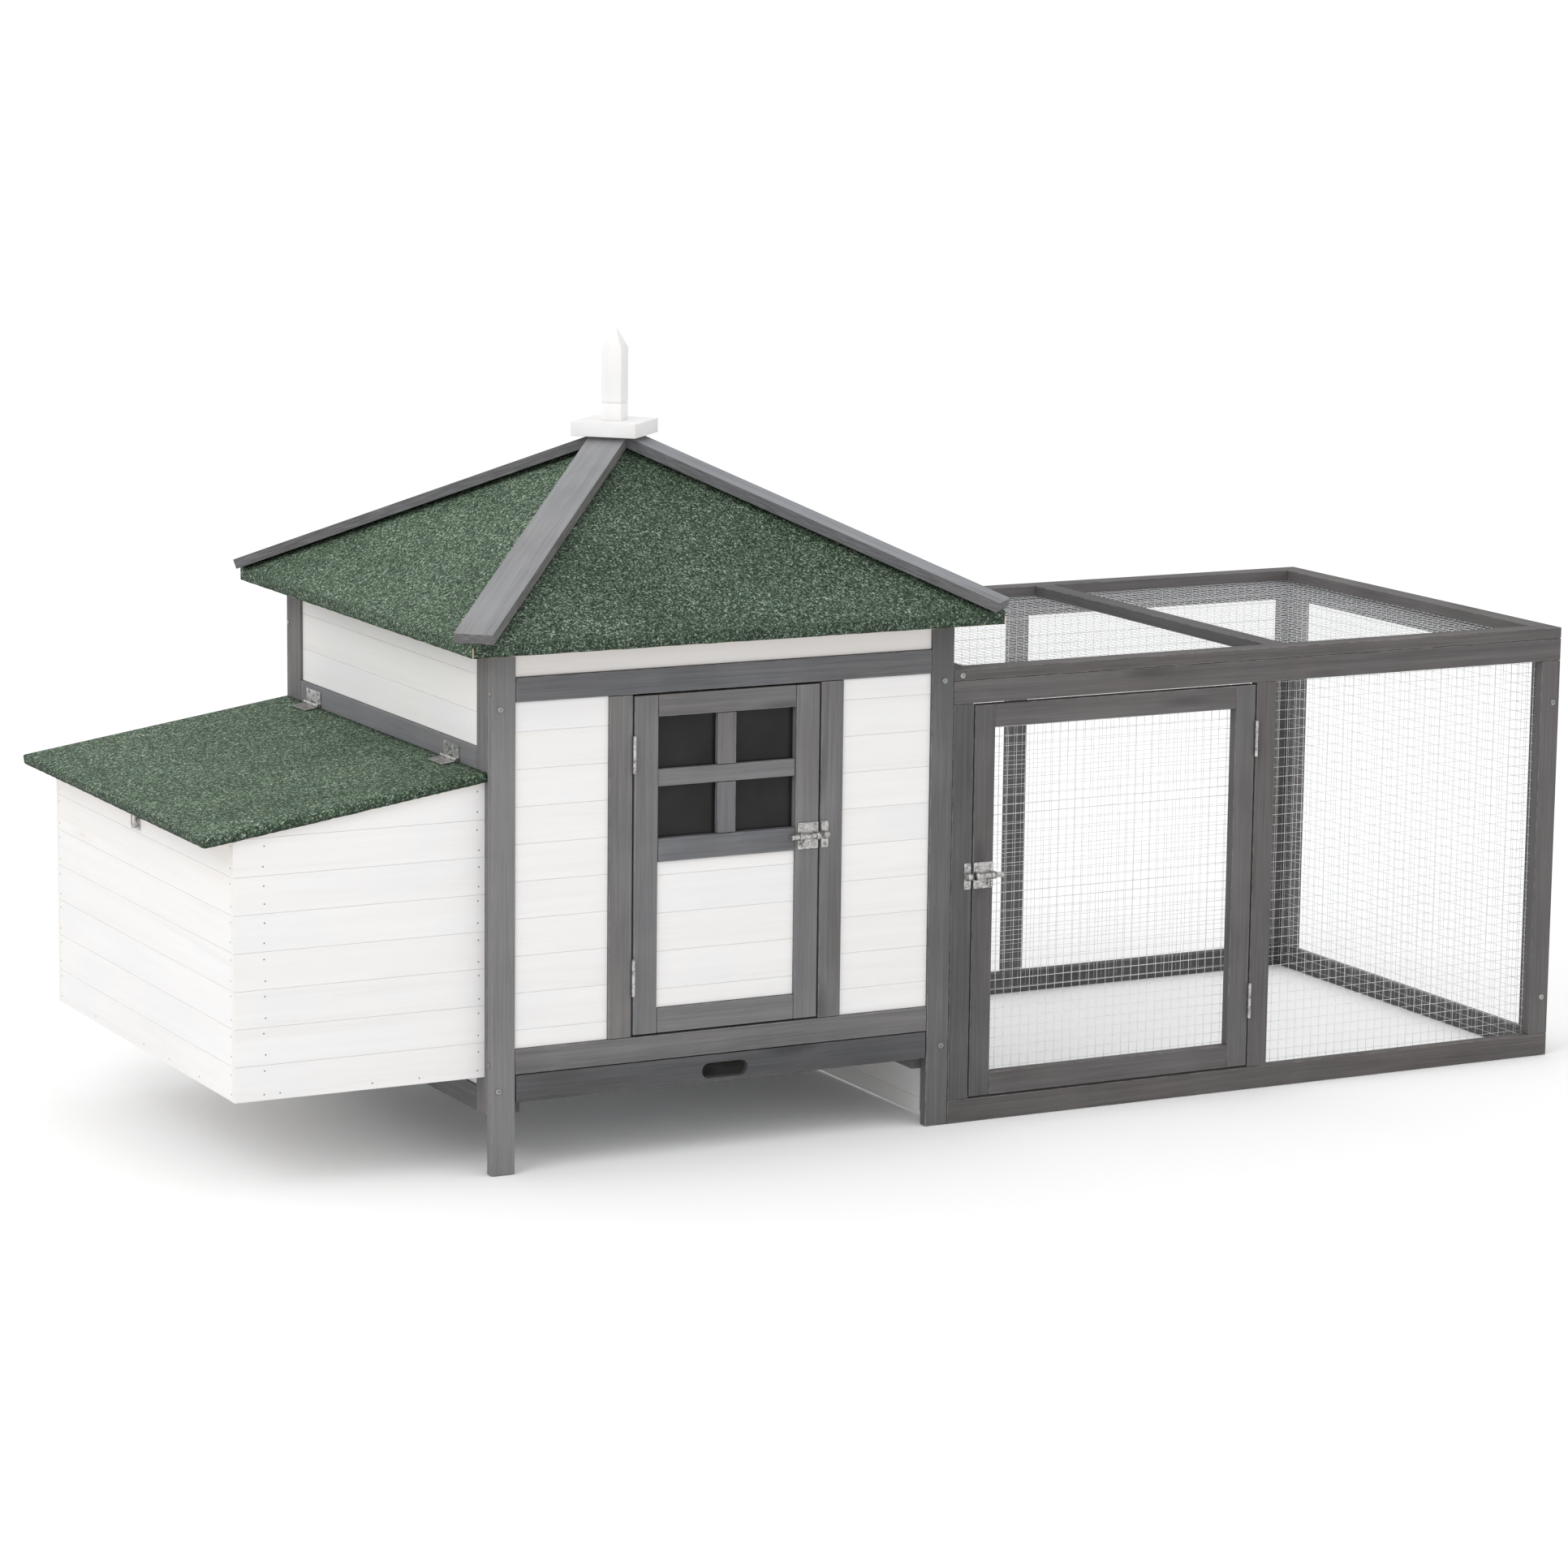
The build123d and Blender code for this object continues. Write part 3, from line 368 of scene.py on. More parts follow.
def timber_pieces():
    """Every strip and board field of the coop, node by node."""
    inner, back = HOUSE_W - STRIP, HOUSE_D - THICK
    posts = (DOOR_X[0] - GAP - STRIP, DOOR_X[0] - GAP, DOOR_X[1] + GAP, DOOR_X[1] + GAP + STRIP)
    y0, y1 = THICK + STRIP, back - STRIP
    field, top_field, face = (SILL[1], HEAD[0]), (HEAD[1], WALL_TOP), (0, THICK)
    out = {}
    for node, wall in (("front_frame", (0.0, THICK)), ("back_frame", (back, HOUSE_D))):
        out[node] = [
            block(0, STRIP, *wall, 0, WALL_TOP),
            block(inner, HOUSE_W, *wall, 0, WALL_TOP),
            block(STRIP, inner, *wall, *SILL),
            block(STRIP, inner, *wall, *HEAD),
        ]
    for i in (0, 2):
        out["front_frame"].append(block(posts[i], posts[i + 1], *face, *field))
    b0, b1 = INSET, INSET + BOARD
    out["front_boards"] = [
        block(STRIP, posts[0], b0, b1, *field),
        block(posts[3], inner, b0, b1, *field),
        block(STRIP, inner, b0, b1, *top_field),
    ]
    c0, c1 = HOUSE_D - b1, HOUSE_D - b0
    out["back_boards"] = [
        block(STRIP, inner, c0, c1, *field),
        block(STRIP, inner, c0, c1, *top_field),
    ]
    for node, x0, foot in (("left_frame", 0.0, 73.0), ("right_frame", HOUSE_W - THICK, 8.0)):
        x1 = x0 + THICK
        out[node] = [
            block(x0, x1, THICK, y0, foot, WALL_TOP),
            block(x0, x1, y1, back, foot, WALL_TOP),
            block(x0, x1, y0, y1, *SIDE_RAIL),
        ]
    out["left_frame"].append(block(0, THICK, y0, y1, *HINGE_RAIL))
    out["left_boards"] = [
        block(b0, b1, y0, y1, HINGE_RAIL[1], WALL_TOP),
        block(b0, b1, y0, y1, SIDE_RAIL[1], 165.0),
    ]
    d0, d1 = HOUSE_W - b1, HOUSE_W - b0
    out["right_boards"] = [
        block(d0, d1, y0, y1, 3.0, SIDE_RAIL[0]),
        block(d0, d1, y0, y1, SIDE_RAIL[1], HOLE_Z[0]),
        block(d0, d1, y0, HOLE_Y[0], *HOLE_Z),
        block(d0, d1, HOLE_Y[1], y1, *HOLE_Z),
        block(d0, d1, y0, y1, HOLE_Z[1], WALL_TOP),
    ]
    x0, x1 = DOOR_X[0] + DOOR_STILE, DOOR_X[1] - DOOR_STILE
    pane_top, middle, bar = DOOR_Z[1] - DOOR_TOP, (x0 + x1) / 2, (2, THICK - 4)
    out["door_frame"] = [
        block(DOOR_X[0], x0, *face, *DOOR_Z),
        block(x1, DOOR_X[1], *face, *DOOR_Z),
        block(x0, x1, *face, DOOR_Z[0], DOOR_Z[0] + STRIP),
        block(x0, x1, *face, pane_top, DOOR_Z[1]),
        block(x0, x1, *face, *MID_RAIL),
        block(x0, x1, *bar, *MUNTIN_Z),
        block(middle - 13, middle + 13, *bar, MUNTIN_Z[1], pane_top),
        block(middle - 13, middle + 13, *bar, MID_RAIL[1], MUNTIN_Z[0]),
    ]
    out["door_boards"] = [block(x0, x1, b0, b1, DOOR_Z[0] + STRIP, MID_RAIL[0])]
    post = RUN_DOOR_X[1] + GAP
    for node, y in (("run_front_frame", 0.0), ("run_back_frame", back)):
        out[node] = panel((HOUSE_W, RUN_END), (0.0, RUN_H), RUN_STRIP, y, False)
        out[node].append(block(post, post + RUN_STRIP, y, y + THICK, RUN_STRIP, RUN_H - RUN_STRIP))
    out["run_door_frame"] = panel(RUN_DOOR_X, RUN_DOOR_Z, RUN_STRIP, 0.0, True)
    s, e = RUN_STRIP, RUN_END - THICK
    out["run_end_frame"] = [
        block(e, RUN_END, THICK, back, 0, s),
        block(e, RUN_END, THICK, back, RUN_H - s, RUN_H),
        block(e, RUN_END, THICK, THICK + s, s, RUN_H - s),
        block(e, RUN_END, back - s, back, s, RUN_H - s),
    ]
    z0, z1 = RUN_H, RUN_H + THICK
    out["run_top_frame"] = [
        block(HOUSE_W, RUN_END, 0, s, z0, z1),
        block(HOUSE_W, RUN_END, HOUSE_D - s, HOUSE_D, z0, z1),
        block(HOUSE_W, HOUSE_W + s, s, HOUSE_D - s, z0, z1),
        block(RUN_END - s, RUN_END, s, HOUSE_D - s, z0, z1),
        block(TOP_BAR, TOP_BAR + s, s, HOUSE_D - s, z0, z1),
    ]
    right = HOUSE_W - THICK
    shelf, guide = (THICK, back, SIDE_RAIL[0], 90), (THICK, back, 90, 118)
    out["tray_runners"] = [
        block(THICK, THICK + 30, *shelf),
        block(THICK, STRIP, *guide),
        block(right - 30, right, *shelf),
        block(inner, right, *guide),
    ]
    x, low, high = HOUSE_W, HOLE_Z[0] - 8.3, HOLE_Z[1] + 8.6
    out["pop_guides"] = [
        block(x, x + 9, y0, y1, low - 10, low),
        block(x + 9, x + 14, y0, y1, low - 10, low + 7),
        block(x, x + 9, y0, y1, high, high + 10),
        block(x + 9, x + 14, y0, y1, high - 7, high + 10),
    ]
    a0, a1, p1, floor = STRIP + 1.5, inner - 1.5, back - 4, 91.4
    out["tray_pan"] = [
        block(a0, a1, THICK, p1, 90.4, floor),
        block(a0, a0 + 1, THICK, p1, floor, 120),
        block(a1 - 1, a1, THICK, p1, floor, 120),
        block(a0 + 1, a1 - 1, p1 - 1, p1, floor, 120),
    ]
    out["perch"] = [block(522, 547, b1, HOUSE_D - b1, 300, 325)]
    out["nest_outer_wall"] = [box_of("nest_outer_wall")]
    return out


PIECES = timber_pieces()


# --- mesh helpers ---
def new_bm():
    bm = bmesh.new()
    bm.verts.layers.float_vector.new("grain")
    bm.verts.layers.float.new("tone")
    bm.faces.layers.float.new("edge")
    bm.faces.layers.float.new("end")
    return bm


def layers(bm):
    """Grain and tone of the vertices, edge and end marks of the faces."""
    v, f = bm.verts.layers, bm.faces.layers
    return v.float_vector["grain"], v.float["tone"], f.float["edge"], f.float["end"]


def grain_offset():
    """Where in the wood a piece was cut from."""
    return Vector([rng.uniform(-8, 8) for _ in range(3)])


def plain_shade():
    return rng.uniform(0.36, 0.64)


def add_piece(bm, low, high, along=None, bevel=EASED, segments=2, all_edges=True, shade=None):
    """One sawn piece with eased edges. It carries its own grain direction, tone and edge marks."""
    grain, tone, edge, end = layers(bm)
    size, middle = high - low, (low + high) / 2
    if along is None:
        along = max(range(3), key=lambda i: size[i])
    order = [along] + [i for i in range(3) if i != along]
    made = bmesh.ops.create_cube(bm, size=1.0)["verts"]
    for v in made:
        v.co = Vector([v.co[i] * size[i] for i in range(3)])
    edges = list(dict.fromkeys(e for v in made for e in v.link_edges))
    if not all_edges:
        edges = [e for e in edges if abs((e.verts[0].co - e.verts[1].co)[along]) > 1e-6]
    before = set(bm.verts)
    out = bmesh.ops.bevel(
        bm, geom=edges, offset=bevel, segments=segments, profile=0.6,
        affect="EDGES", clamp_overlap=True,
    )
    verts = {v for v in made if v.is_valid} | set(out["verts"])
    verts |= {v for v in bm.verts if v not in before}
    faces = {f for v in verts for f in v.link_faces}
    offset = grain_offset()
    drawn = plain_shade()
    shade = drawn if shade is None else shade
    for v in verts:
        v[grain] = Vector([v.co[i] for i in order]) + offset
        v[tone] = shade
    for f in faces:
        f.normal_update()
        flat = max(abs(c) for c in f.normal) > 0.999
        f[edge] = 0.0 if flat else 1.0
        f[end] = 1.0 if abs(f.normal[along]) > 0.9 else 0.0
        f.smooth = False
    for v in verts:
        v.co = v.co + middle


def ring_of(bm, points):
    """A row of new vertices whose grain is their own position."""
    grain = bm.verts.layers.float_vector["grain"]
    row = []
    for p in points:
        v = bm.verts.new(p)
        v[grain] = v.co
        row.append(v)
    return row


def circle(centre, u, v, radius, count):
    """Points spaced evenly round a circle in the plane of u and v."""
    angles = [2 * math.pi * j / count for j in range(count)]
    return [centre + (u * math.cos(a) + v * math.sin(a)) * radius for a in angles]


def skin(bm, rings, smooth=True, caps=True):
    """Faces between neighbouring closed rings, with a flat cap at both ends."""
    for p, q in zip(rings, rings[1:]):
        for j in range(len(p)):
            k = (j + 1) % len(p)
            bm.faces.new((p[j], p[k], q[k], q[j])).smooth = smooth
    if caps:
        bm.faces.new(list(reversed(rings[0])))
        bm.faces.new(rings[-1])


def turned(bm, centre, axis, u, v, profile, sides):
    """A turned solid from (distance along the axis, radius) pairs in millimetres."""
    skin(bm, [
        ring_of(bm, circle(centre + axis * out * MM, u, v, r * MM, sides)) for out, r in profile
    ])


def tube(bm, a, b, r, sides=6, rings=1, wobble=0.0):
    """A round bar from a to b, closed at both ends. Its inner rings stray by up to wobble."""
    d = (b - a).normalized()
    side = d.orthogonal().normalized()
    other = d.cross(side)
    loops = []
    for i in range(rings + 1):
        centre = a.lerp(b, i / rings)
        if wobble and 0 < i < rings:
            centre += side * rng.uniform(-wobble, wobble) + other * rng.uniform(-wobble, wobble)
        loops.append(ring_of(bm, circle(centre, side, other, r, sides)))
    skin(bm, loops)


def finish_piece(bm, name, body, mat, nodes=()):
    """The mesh becomes an object that rides on a body and replaces these CAD nodes."""
    mesh = bpy.data.meshes.new(name)
    bmesh.ops.recalc_face_normals(bm, faces=bm.faces)
    bm.to_mesh(mesh)
    bm.free()
    mesh.materials.append(mat)
    obj = bpy.data.objects.new(name, mesh)
    bpy.context.scene.collection.objects.link(obj)
    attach(obj, body)
    if nodes:
        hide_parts(*nodes)
    return obj


def finish_node(bm, node, suffix, mat):
    """The mesh replaces one CAD node on that node's own body."""
    return finish_piece(bm, node + suffix, BODY_OF[node], mat, [node])


def strips(node, mat=STAIN, bevel=EASED, shades=(), gap=JOINT_GAP):
    """Every strip of a frame as its own planed piece, with a hair gap at each joint."""
    bm = new_bm()
    for i, (low, high) in enumerate(PIECES[node]):
        low = low + Vector((gap, gap, gap if low.z > MM else 0.0))
        high = high - Vector((gap, gap, gap))
        add_piece(bm, low, high, bevel=bevel, shade=shades[i] if i < len(shades) else None)
    finish_node(bm, node, "_wood", mat)


def add_boards(bm, low, high, seam, pitch=BOARD_PITCH, along=None):
    """A flat field as a stack of horizontal boards with V grooves. One groove is at seam."""
    cuts = [low.z]
    z = low.z + (seam - low.z) % pitch
    while z < high.z - LEAST_BOARD:
        if z > low.z + LEAST_BOARD:
            cuts.append(z)
        z += pitch
    cuts.append(high.z)
    if along is None:
        along = 0 if high.x - low.x > high.y - low.y else 1
    for z0, z1 in zip(cuts, cuts[1:]):
        a, b = Vector((low.x, low.y, z0)), Vector((high.x, high.y, z1))
        add_piece(bm, a, b, along=along, bevel=BOARD_EASED, all_edges=False)


def boards(node, seams, pitch=BOARD_PITCH, mat=WHITE):
    """A node's board fields. seams gives one groove height per field, in millimetres."""
    bm = new_bm()
    for (low, high), seam in zip(PIECES[node], seams):
        add_boards(bm, low, high, seam * MM, pitch)
    finish_node(bm, node, "_tg", mat)


# --- house: frames and boards ---
strips("front_frame", shades=(0.85, 0.10, 0.45, 0.35))
strips("back_frame")
strips("left_frame", shades=(0.5, 0.5, 0.45, 0.8))
for node in ("right_frame", "tray_runners", "pop_guides"):
    strips(node)
strips("perch", bevel=4 * MM)
for part in ("front", "back", "end", "top", "door"):
    strips("run_" + part + "_frame", STAIN_RUN, gap=RUN_JOINT_GAP)
strips("door_frame")

boards("front_boards", (180, 190, 618))
boards("back_boards", (187, 618))
# The side boards take the brighter board copy, as painted light.
boards("left_boards", (570, 118), mat=WHITE_LIT)
boards("right_boards", (25, 118, 118, 118, 25), mat=WHITE_LIT)
boards("door_boards", (214,), DOOR_BOARD_PITCH)
boards("nest_outer_wall", (NEST_SEAM,))


def sloped_boards(node):
    """A nest box end wall: horizontal boards whose top follows the lid."""
    low, high = box_of(node)
    corners = points_of(node)
    outer_top = max(p.z for p in corners if p.x < low.x + 1e-4)
    inner_top = max(p.z for p in corners if p.x > high.x - 1e-4)
    bm = new_bm()
    add_boards(bm, low, high, NEST_SEAM * MM, along=0)
    point = Vector((low.x, low.y, outer_top))
    normal = Vector((inner_top - outer_top, 0, -(high.x - low.x))).normalized()
    geom = list(bm.verts) + list(bm.edges) + list(bm.faces)
    cut = bmesh.ops.bisect_plane(bm, geom=geom, plane_co=point, plane_no=-normal, clear_outer=True)
    rim = [e for e in cut["geom_cut"] if isinstance(e, bmesh.types.BMEdge)]
    bmesh.ops.holes_fill(bm, edges=rim, sides=0)
    finish_node(bm, node, "_tg", WHITE)


sloped_boards("nest_front_wall")
sloped_boards("nest_back_wall")


def pop_door():
    """The sliding hatch: boards and a turned knob."""
    low, high = box_of("pop_door")
    face = (HOUSE_W + 8.5 - X_MID) * MM
    bm = new_bm()
    add_boards(bm, low, Vector((face, high.y, high.z)), 118 * MM, along=1)
    # The hatch takes the brighter board copy, as painted light.
    finish_node(bm, "pop_door", "_tg", WHITE_LIT)
    bm = new_bm()
    foot = Vector((face, low.y + 28 * MM, (HOLE_Z[0] + HOLE_Z[1]) / 2 * MM))
    stem = ((0.0, 5.2), (2.0, 4.6), (4.5, 5.0), (7.0, 7.4))
    head = ((9.5, 8.9), (11.5, 8.6), (13.2, 6.4), (14.0, 3.0))
    turned(bm, foot, X_AXIS, Y_AXIS, Z_AXIS, stem + head, 28)
    finish_piece(bm, "pop_door_knob", BODY_OF["pop_door"], BARE)


pop_door()


def wide_boards(node, axis, count):
    """A floor or divider made of a few boards side by side."""
    bm = new_bm()
    low, high = box_of(node)
    step = (high[axis] - low[axis]) / count
    for i in range(count):
        a, b = low.copy(), high.copy()
        a[axis] = low[axis] + i * step
        b[axis] = a[axis] + step
        add_piece(bm, a, b, bevel=1.0 * MM)
    finish_node(bm, node, "_wood", WHITE)


wide_boards("nest_floor", 1, 8)
wide_boards("nest_divider", 2, 4)


# --- tray ---
def remade(node, mat, bevel, segments=2, smooth_angle=None, along=None, suffix="_made"):
    """The CAD node's own shape with eased edges, for shapes that aren't plain strips."""
    src = frame["nodes"][node].data
    bm = new_bm()
    verts = [bm.verts.new(v.co) for v in src.vertices]
    for p in src.polygons:
        corner = [verts[i] for i in p.vertices]
        if len(set(corner)) == len(corner):
            with contextlib.suppress(ValueError):  # a face that is there already
                bm.faces.new(corner)
    bmesh.ops.remove_doubles(bm, verts=bm.verts, dist=1e-6)
    bmesh.ops.dissolve_limit(bm, angle_limit=math.radians(3), verts=bm.verts, edges=bm.edges)
    sharp = [
        e for e in bm.edges if len(e.link_faces) == 2 and e.calc_face_angle() > math.radians(35)
    ]
    if bevel:
        bmesh.ops.bevel(
            bm, geom=sharp, offset=bevel, segments=segments, profile=0.6,
            affect="EDGES", clamp_overlap=True,
        )
    grain, tone, edge, _ = layers(bm)
    if along is None:
        size = [max(v.co[i] for v in bm.verts) - min(v.co[i] for v in bm.verts) for i in range(3)]
        along = (X_AXIS, Y_AXIS, Z_AXIS)[max(range(3), key=lambda i: size[i])]
    across = along.cross(Z_AXIS)
    if across.length < 0.1:
        across = X_AXIS.copy()
    across.normalize()
    third = along.cross(across)
    offset = grain_offset()
    shade = plain_shade()
    for v in bm.verts:
        v[grain] = Vector((v.co @ along, v.co @ across, v.co @ third)) + offset
        v[tone] = shade
    if bevel:
        for f in bm.faces:
            widest = 1.2 * bevel * max(e.calc_length() for e in f.edges)
            f[edge] = 1.0 if f.calc_area() < widest else 0.0
    obj = finish_node(bm, node, suffix, mat)
    if smooth_angle:
        for p in obj.data.polygons:
            p.use_smooth = True
        obj.data.set_sharp_from_angle(angle=math.radians(smooth_angle))
    return obj


remade("tray_front", STAIN_TRAY, 0.8 * MM, smooth_angle=25)


def tray_pan():
    """A folded sheet pan with a rolled rim along its sides."""
    bm = new_bm()
    for low, high in PIECES["tray_pan"]:
        add_piece(bm, low, high, bevel=0.3 * MM, segments=1)
    low, high = box_of("tray_pan")
    r = 1.1 * MM
    for x in (low.x + 0.5 * MM + r, high.x - 0.5 * MM - r):
        z = high.z - r
        tube(bm, Vector((x, low.y + 2 * MM, z)), Vector((x, high.y - 1 * MM, z)), r, 8)
    finish_node(bm, "tray_pan", "_sheet", SHEET_ZINC)


tray_pan()


# --- roof ---
def hip_caps():
    """The four boards over the hips. Their lower sides take the end grain colour as painted shade.
    """
    deck_low, deck_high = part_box("roof_decks")
    centre_x, centre_y = (deck_low[0] + deck_high[0]) / 2, (deck_low[1] + deck_high[1]) / 2
    for corner in ("front_left", "front_right", "back_right", "back_left"):
        low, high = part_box("hip_cap_" + corner)
        x = low[0] if "left" in corner else high[0]
        y = low[1] if "front" in corner else high[1]
        down = (low[2] - high[2]) * 0.98
        along = Vector((x - centre_x, y - centre_y, down)).normalized()
        # The caps' lighter stain is partly painted light from above.
        obj = remade("hip_cap_" + corner, STAIN_CAP_PALE_AND_LIT, 1.0 * MM, along=along)
        # Painted shade: the caps' steep sides take the end grain mark, which darkens them.
        painted_side_shade = obj.data.attributes["end"].data
        for p in obj.data.polygons:
            if p.normal.z < 0.7 and p.area > 1e-5:
                painted_side_shade[p.index].value = 0.9


hip_caps()


def roof_decks():
    """The plywood under the felt. Its pale edge shows at the open felt corners."""
    bm = new_bm()
    bm.from_mesh(frame["nodes"]["roof_decks"].data)
    grain = bm.verts.layers.float_vector.get("grain")
    grain = grain or bm.verts.layers.float_vector.new("grain")
    for v in bm.verts:
        v[grain] = Vector((v.co.x, v.co.y, v.co.z * 4))
    bmesh.ops.remove_doubles(bm, verts=bm.verts, dist=1e-7)
    finish_node(bm, "roof_decks", "_ply", BARE)


roof_decks()


def felt_panel(side, apex, left, right, drop):
    """Felt over one triangular slope: sheet, rounded fold at the eave and a hanging skirt.

    apex, left and right are the corners of the sheet's top. drop is how far the skirt hangs.
    """
    bm = new_bm()
    grain, _, edge, _ = layers(bm)
    middle = (left + right) / 2
    run = middle - apex
    across = (right - left).normalized()
    slope_dir = run.normalized()
    up = across.cross(slope_dir)
    if up.z < 0:
        up = -up
    out = Vector((slope_dir.x, slope_dir.y, 0)).normalized()
    half = (right - left).length / 2
    rows, fold_rows, skirt_rows, columns = 34, 4, 3, 56
    profile = []  # (point on the middle line, share of the half width, outward normal)
    for i in range(rows + 1):
        t = (i / rows) * (1 - FELT_FOLD / run.length)
        profile.append((apex + run * t, max(t, 0.002), up))
    centre = profile[-1][0] - up * FELT_FOLD
    turn = math.acos(max(-1, min(1, up.dot(out))))
    for i in range(1, fold_rows + 1):
        a = turn * i / fold_rows
        n = ((up * math.sin(turn - a) + out * math.sin(a)) / math.sin(turn)).normalized()
        profile.append((centre + n * FELT_FOLD, 1.0, n))
    top = profile[-1][0]
    hang = top.z - (middle.z - drop)
    for i in range(1, skirt_rows + 1):
        profile.append((top - Vector((0, 0, hang * i / skirt_rows)), 1.0, out))
    limit = half - CORNER_GAP
    offset = grain_offset()
    ragged = [rng.random() for _ in range(columns + 1)]
    sheets = []
    for level in (0.0, FELT_THICK):
        grid = []
        for r, (p, share, n) in enumerate(profile):
            width = min(half * share, limit)
            if r > rows:
                width = limit - (0.6 * MM if r > rows + fold_rows else 0.0)
            down_slope = (p - apex).length + (r - rows) * 3 * MM * (r > rows)
            row = []
            for c in range(columns + 1):
                u = 2 * c / columns - 1
                q = p + across * (u * width) - n * level
                if r == len(profile) - 1:
                    q.z += 0.9 * MM * ragged[c] ** 2
                v = bm.verts.new(q)
                v[grain] = Vector((u * width, down_slope, level)) + offset
                row.append(v)
            grid.append(row)
        sheets.append(grid)
    outer, inner = sheets

    def face(corners, mark, smooth=False):
        f = bm.faces.new(corners)
        f[edge], f.smooth = mark, smooth

    for r in range(len(profile) - 1):
        for c in range(columns):
            near, far = outer[r], outer[r + 1]
            # Painted shade on the lower skirt rows; the underside and cut edges are bitumen.
            mark = 0.3 if r > rows + 2 else 0.0
            face((near[c], near[c + 1], far[c + 1], far[c]), mark, True)
            near, far = inner[r], inner[r + 1]
            face((near[c], far[c], far[c + 1], near[c + 1]), 1.0, True)
    for c in range(columns):
        face((outer[-1][c], outer[-1][c + 1], inner[-1][c + 1], inner[-1][c]), 1.0)
        face((outer[0][c + 1], outer[0][c], inner[0][c], inner[0][c + 1]), 0.0)
    for r in range(len(profile) - 1):
        face((outer[r + 1][0], outer[r][0], inner[r][0], inner[r + 1][0]), 1.0)
        face((outer[r][-1], outer[r + 1][-1], inner[r + 1][-1], inner[r][-1]), 1.0)
    bmesh.ops.remove_doubles(bm, verts=bm.verts, dist=1e-6)
    node = "roof_felt_" + side
    # The left slope takes the brighter felt copy, as painted light.
    look = FELT_LIT if side == "left" else FELT
    finish_piece(bm, "felt_" + side, BODY_OF[node], look, [node])


def roof_felts():
    boxes = [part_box("roof_felt_" + side) for side in ("front", "right", "back", "left")]
    low = Vector([min(b[0][i] for b in boxes) for i in range(3)])
    high = Vector([max(b[1][i] for b in boxes) for i in range(3)])
    deck_low, deck_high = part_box("roof_decks")
    apex = Vector(((low.x + high.x) / 2, (low.y + high.y) / 2, high.z))
    eave = deck_low[2] + high.z - deck_high[2] + EAVE_BAND
    fl, fr = Vector((low.x, low.y, eave)), Vector((high.x, low.y, eave))
    br, bl = Vector((high.x, high.y, eave)), Vector((low.x, high.y, eave))
    for side, a, b in (("front", fl, fr), ("right", fr, br), ("back", br, bl), ("left", bl, fl)):
        felt_panel(side, apex, a, b, eave - low.z)


roof_felts()

# The finial takes the brighter board copy, as painted light.
remade("finial_plate", WHITE_LIT, 1.0 * MM, smooth_angle=30)
remade("finial_post", WHITE_LIT, 0.7 * MM, along=Z_AXIS, smooth_angle=30)


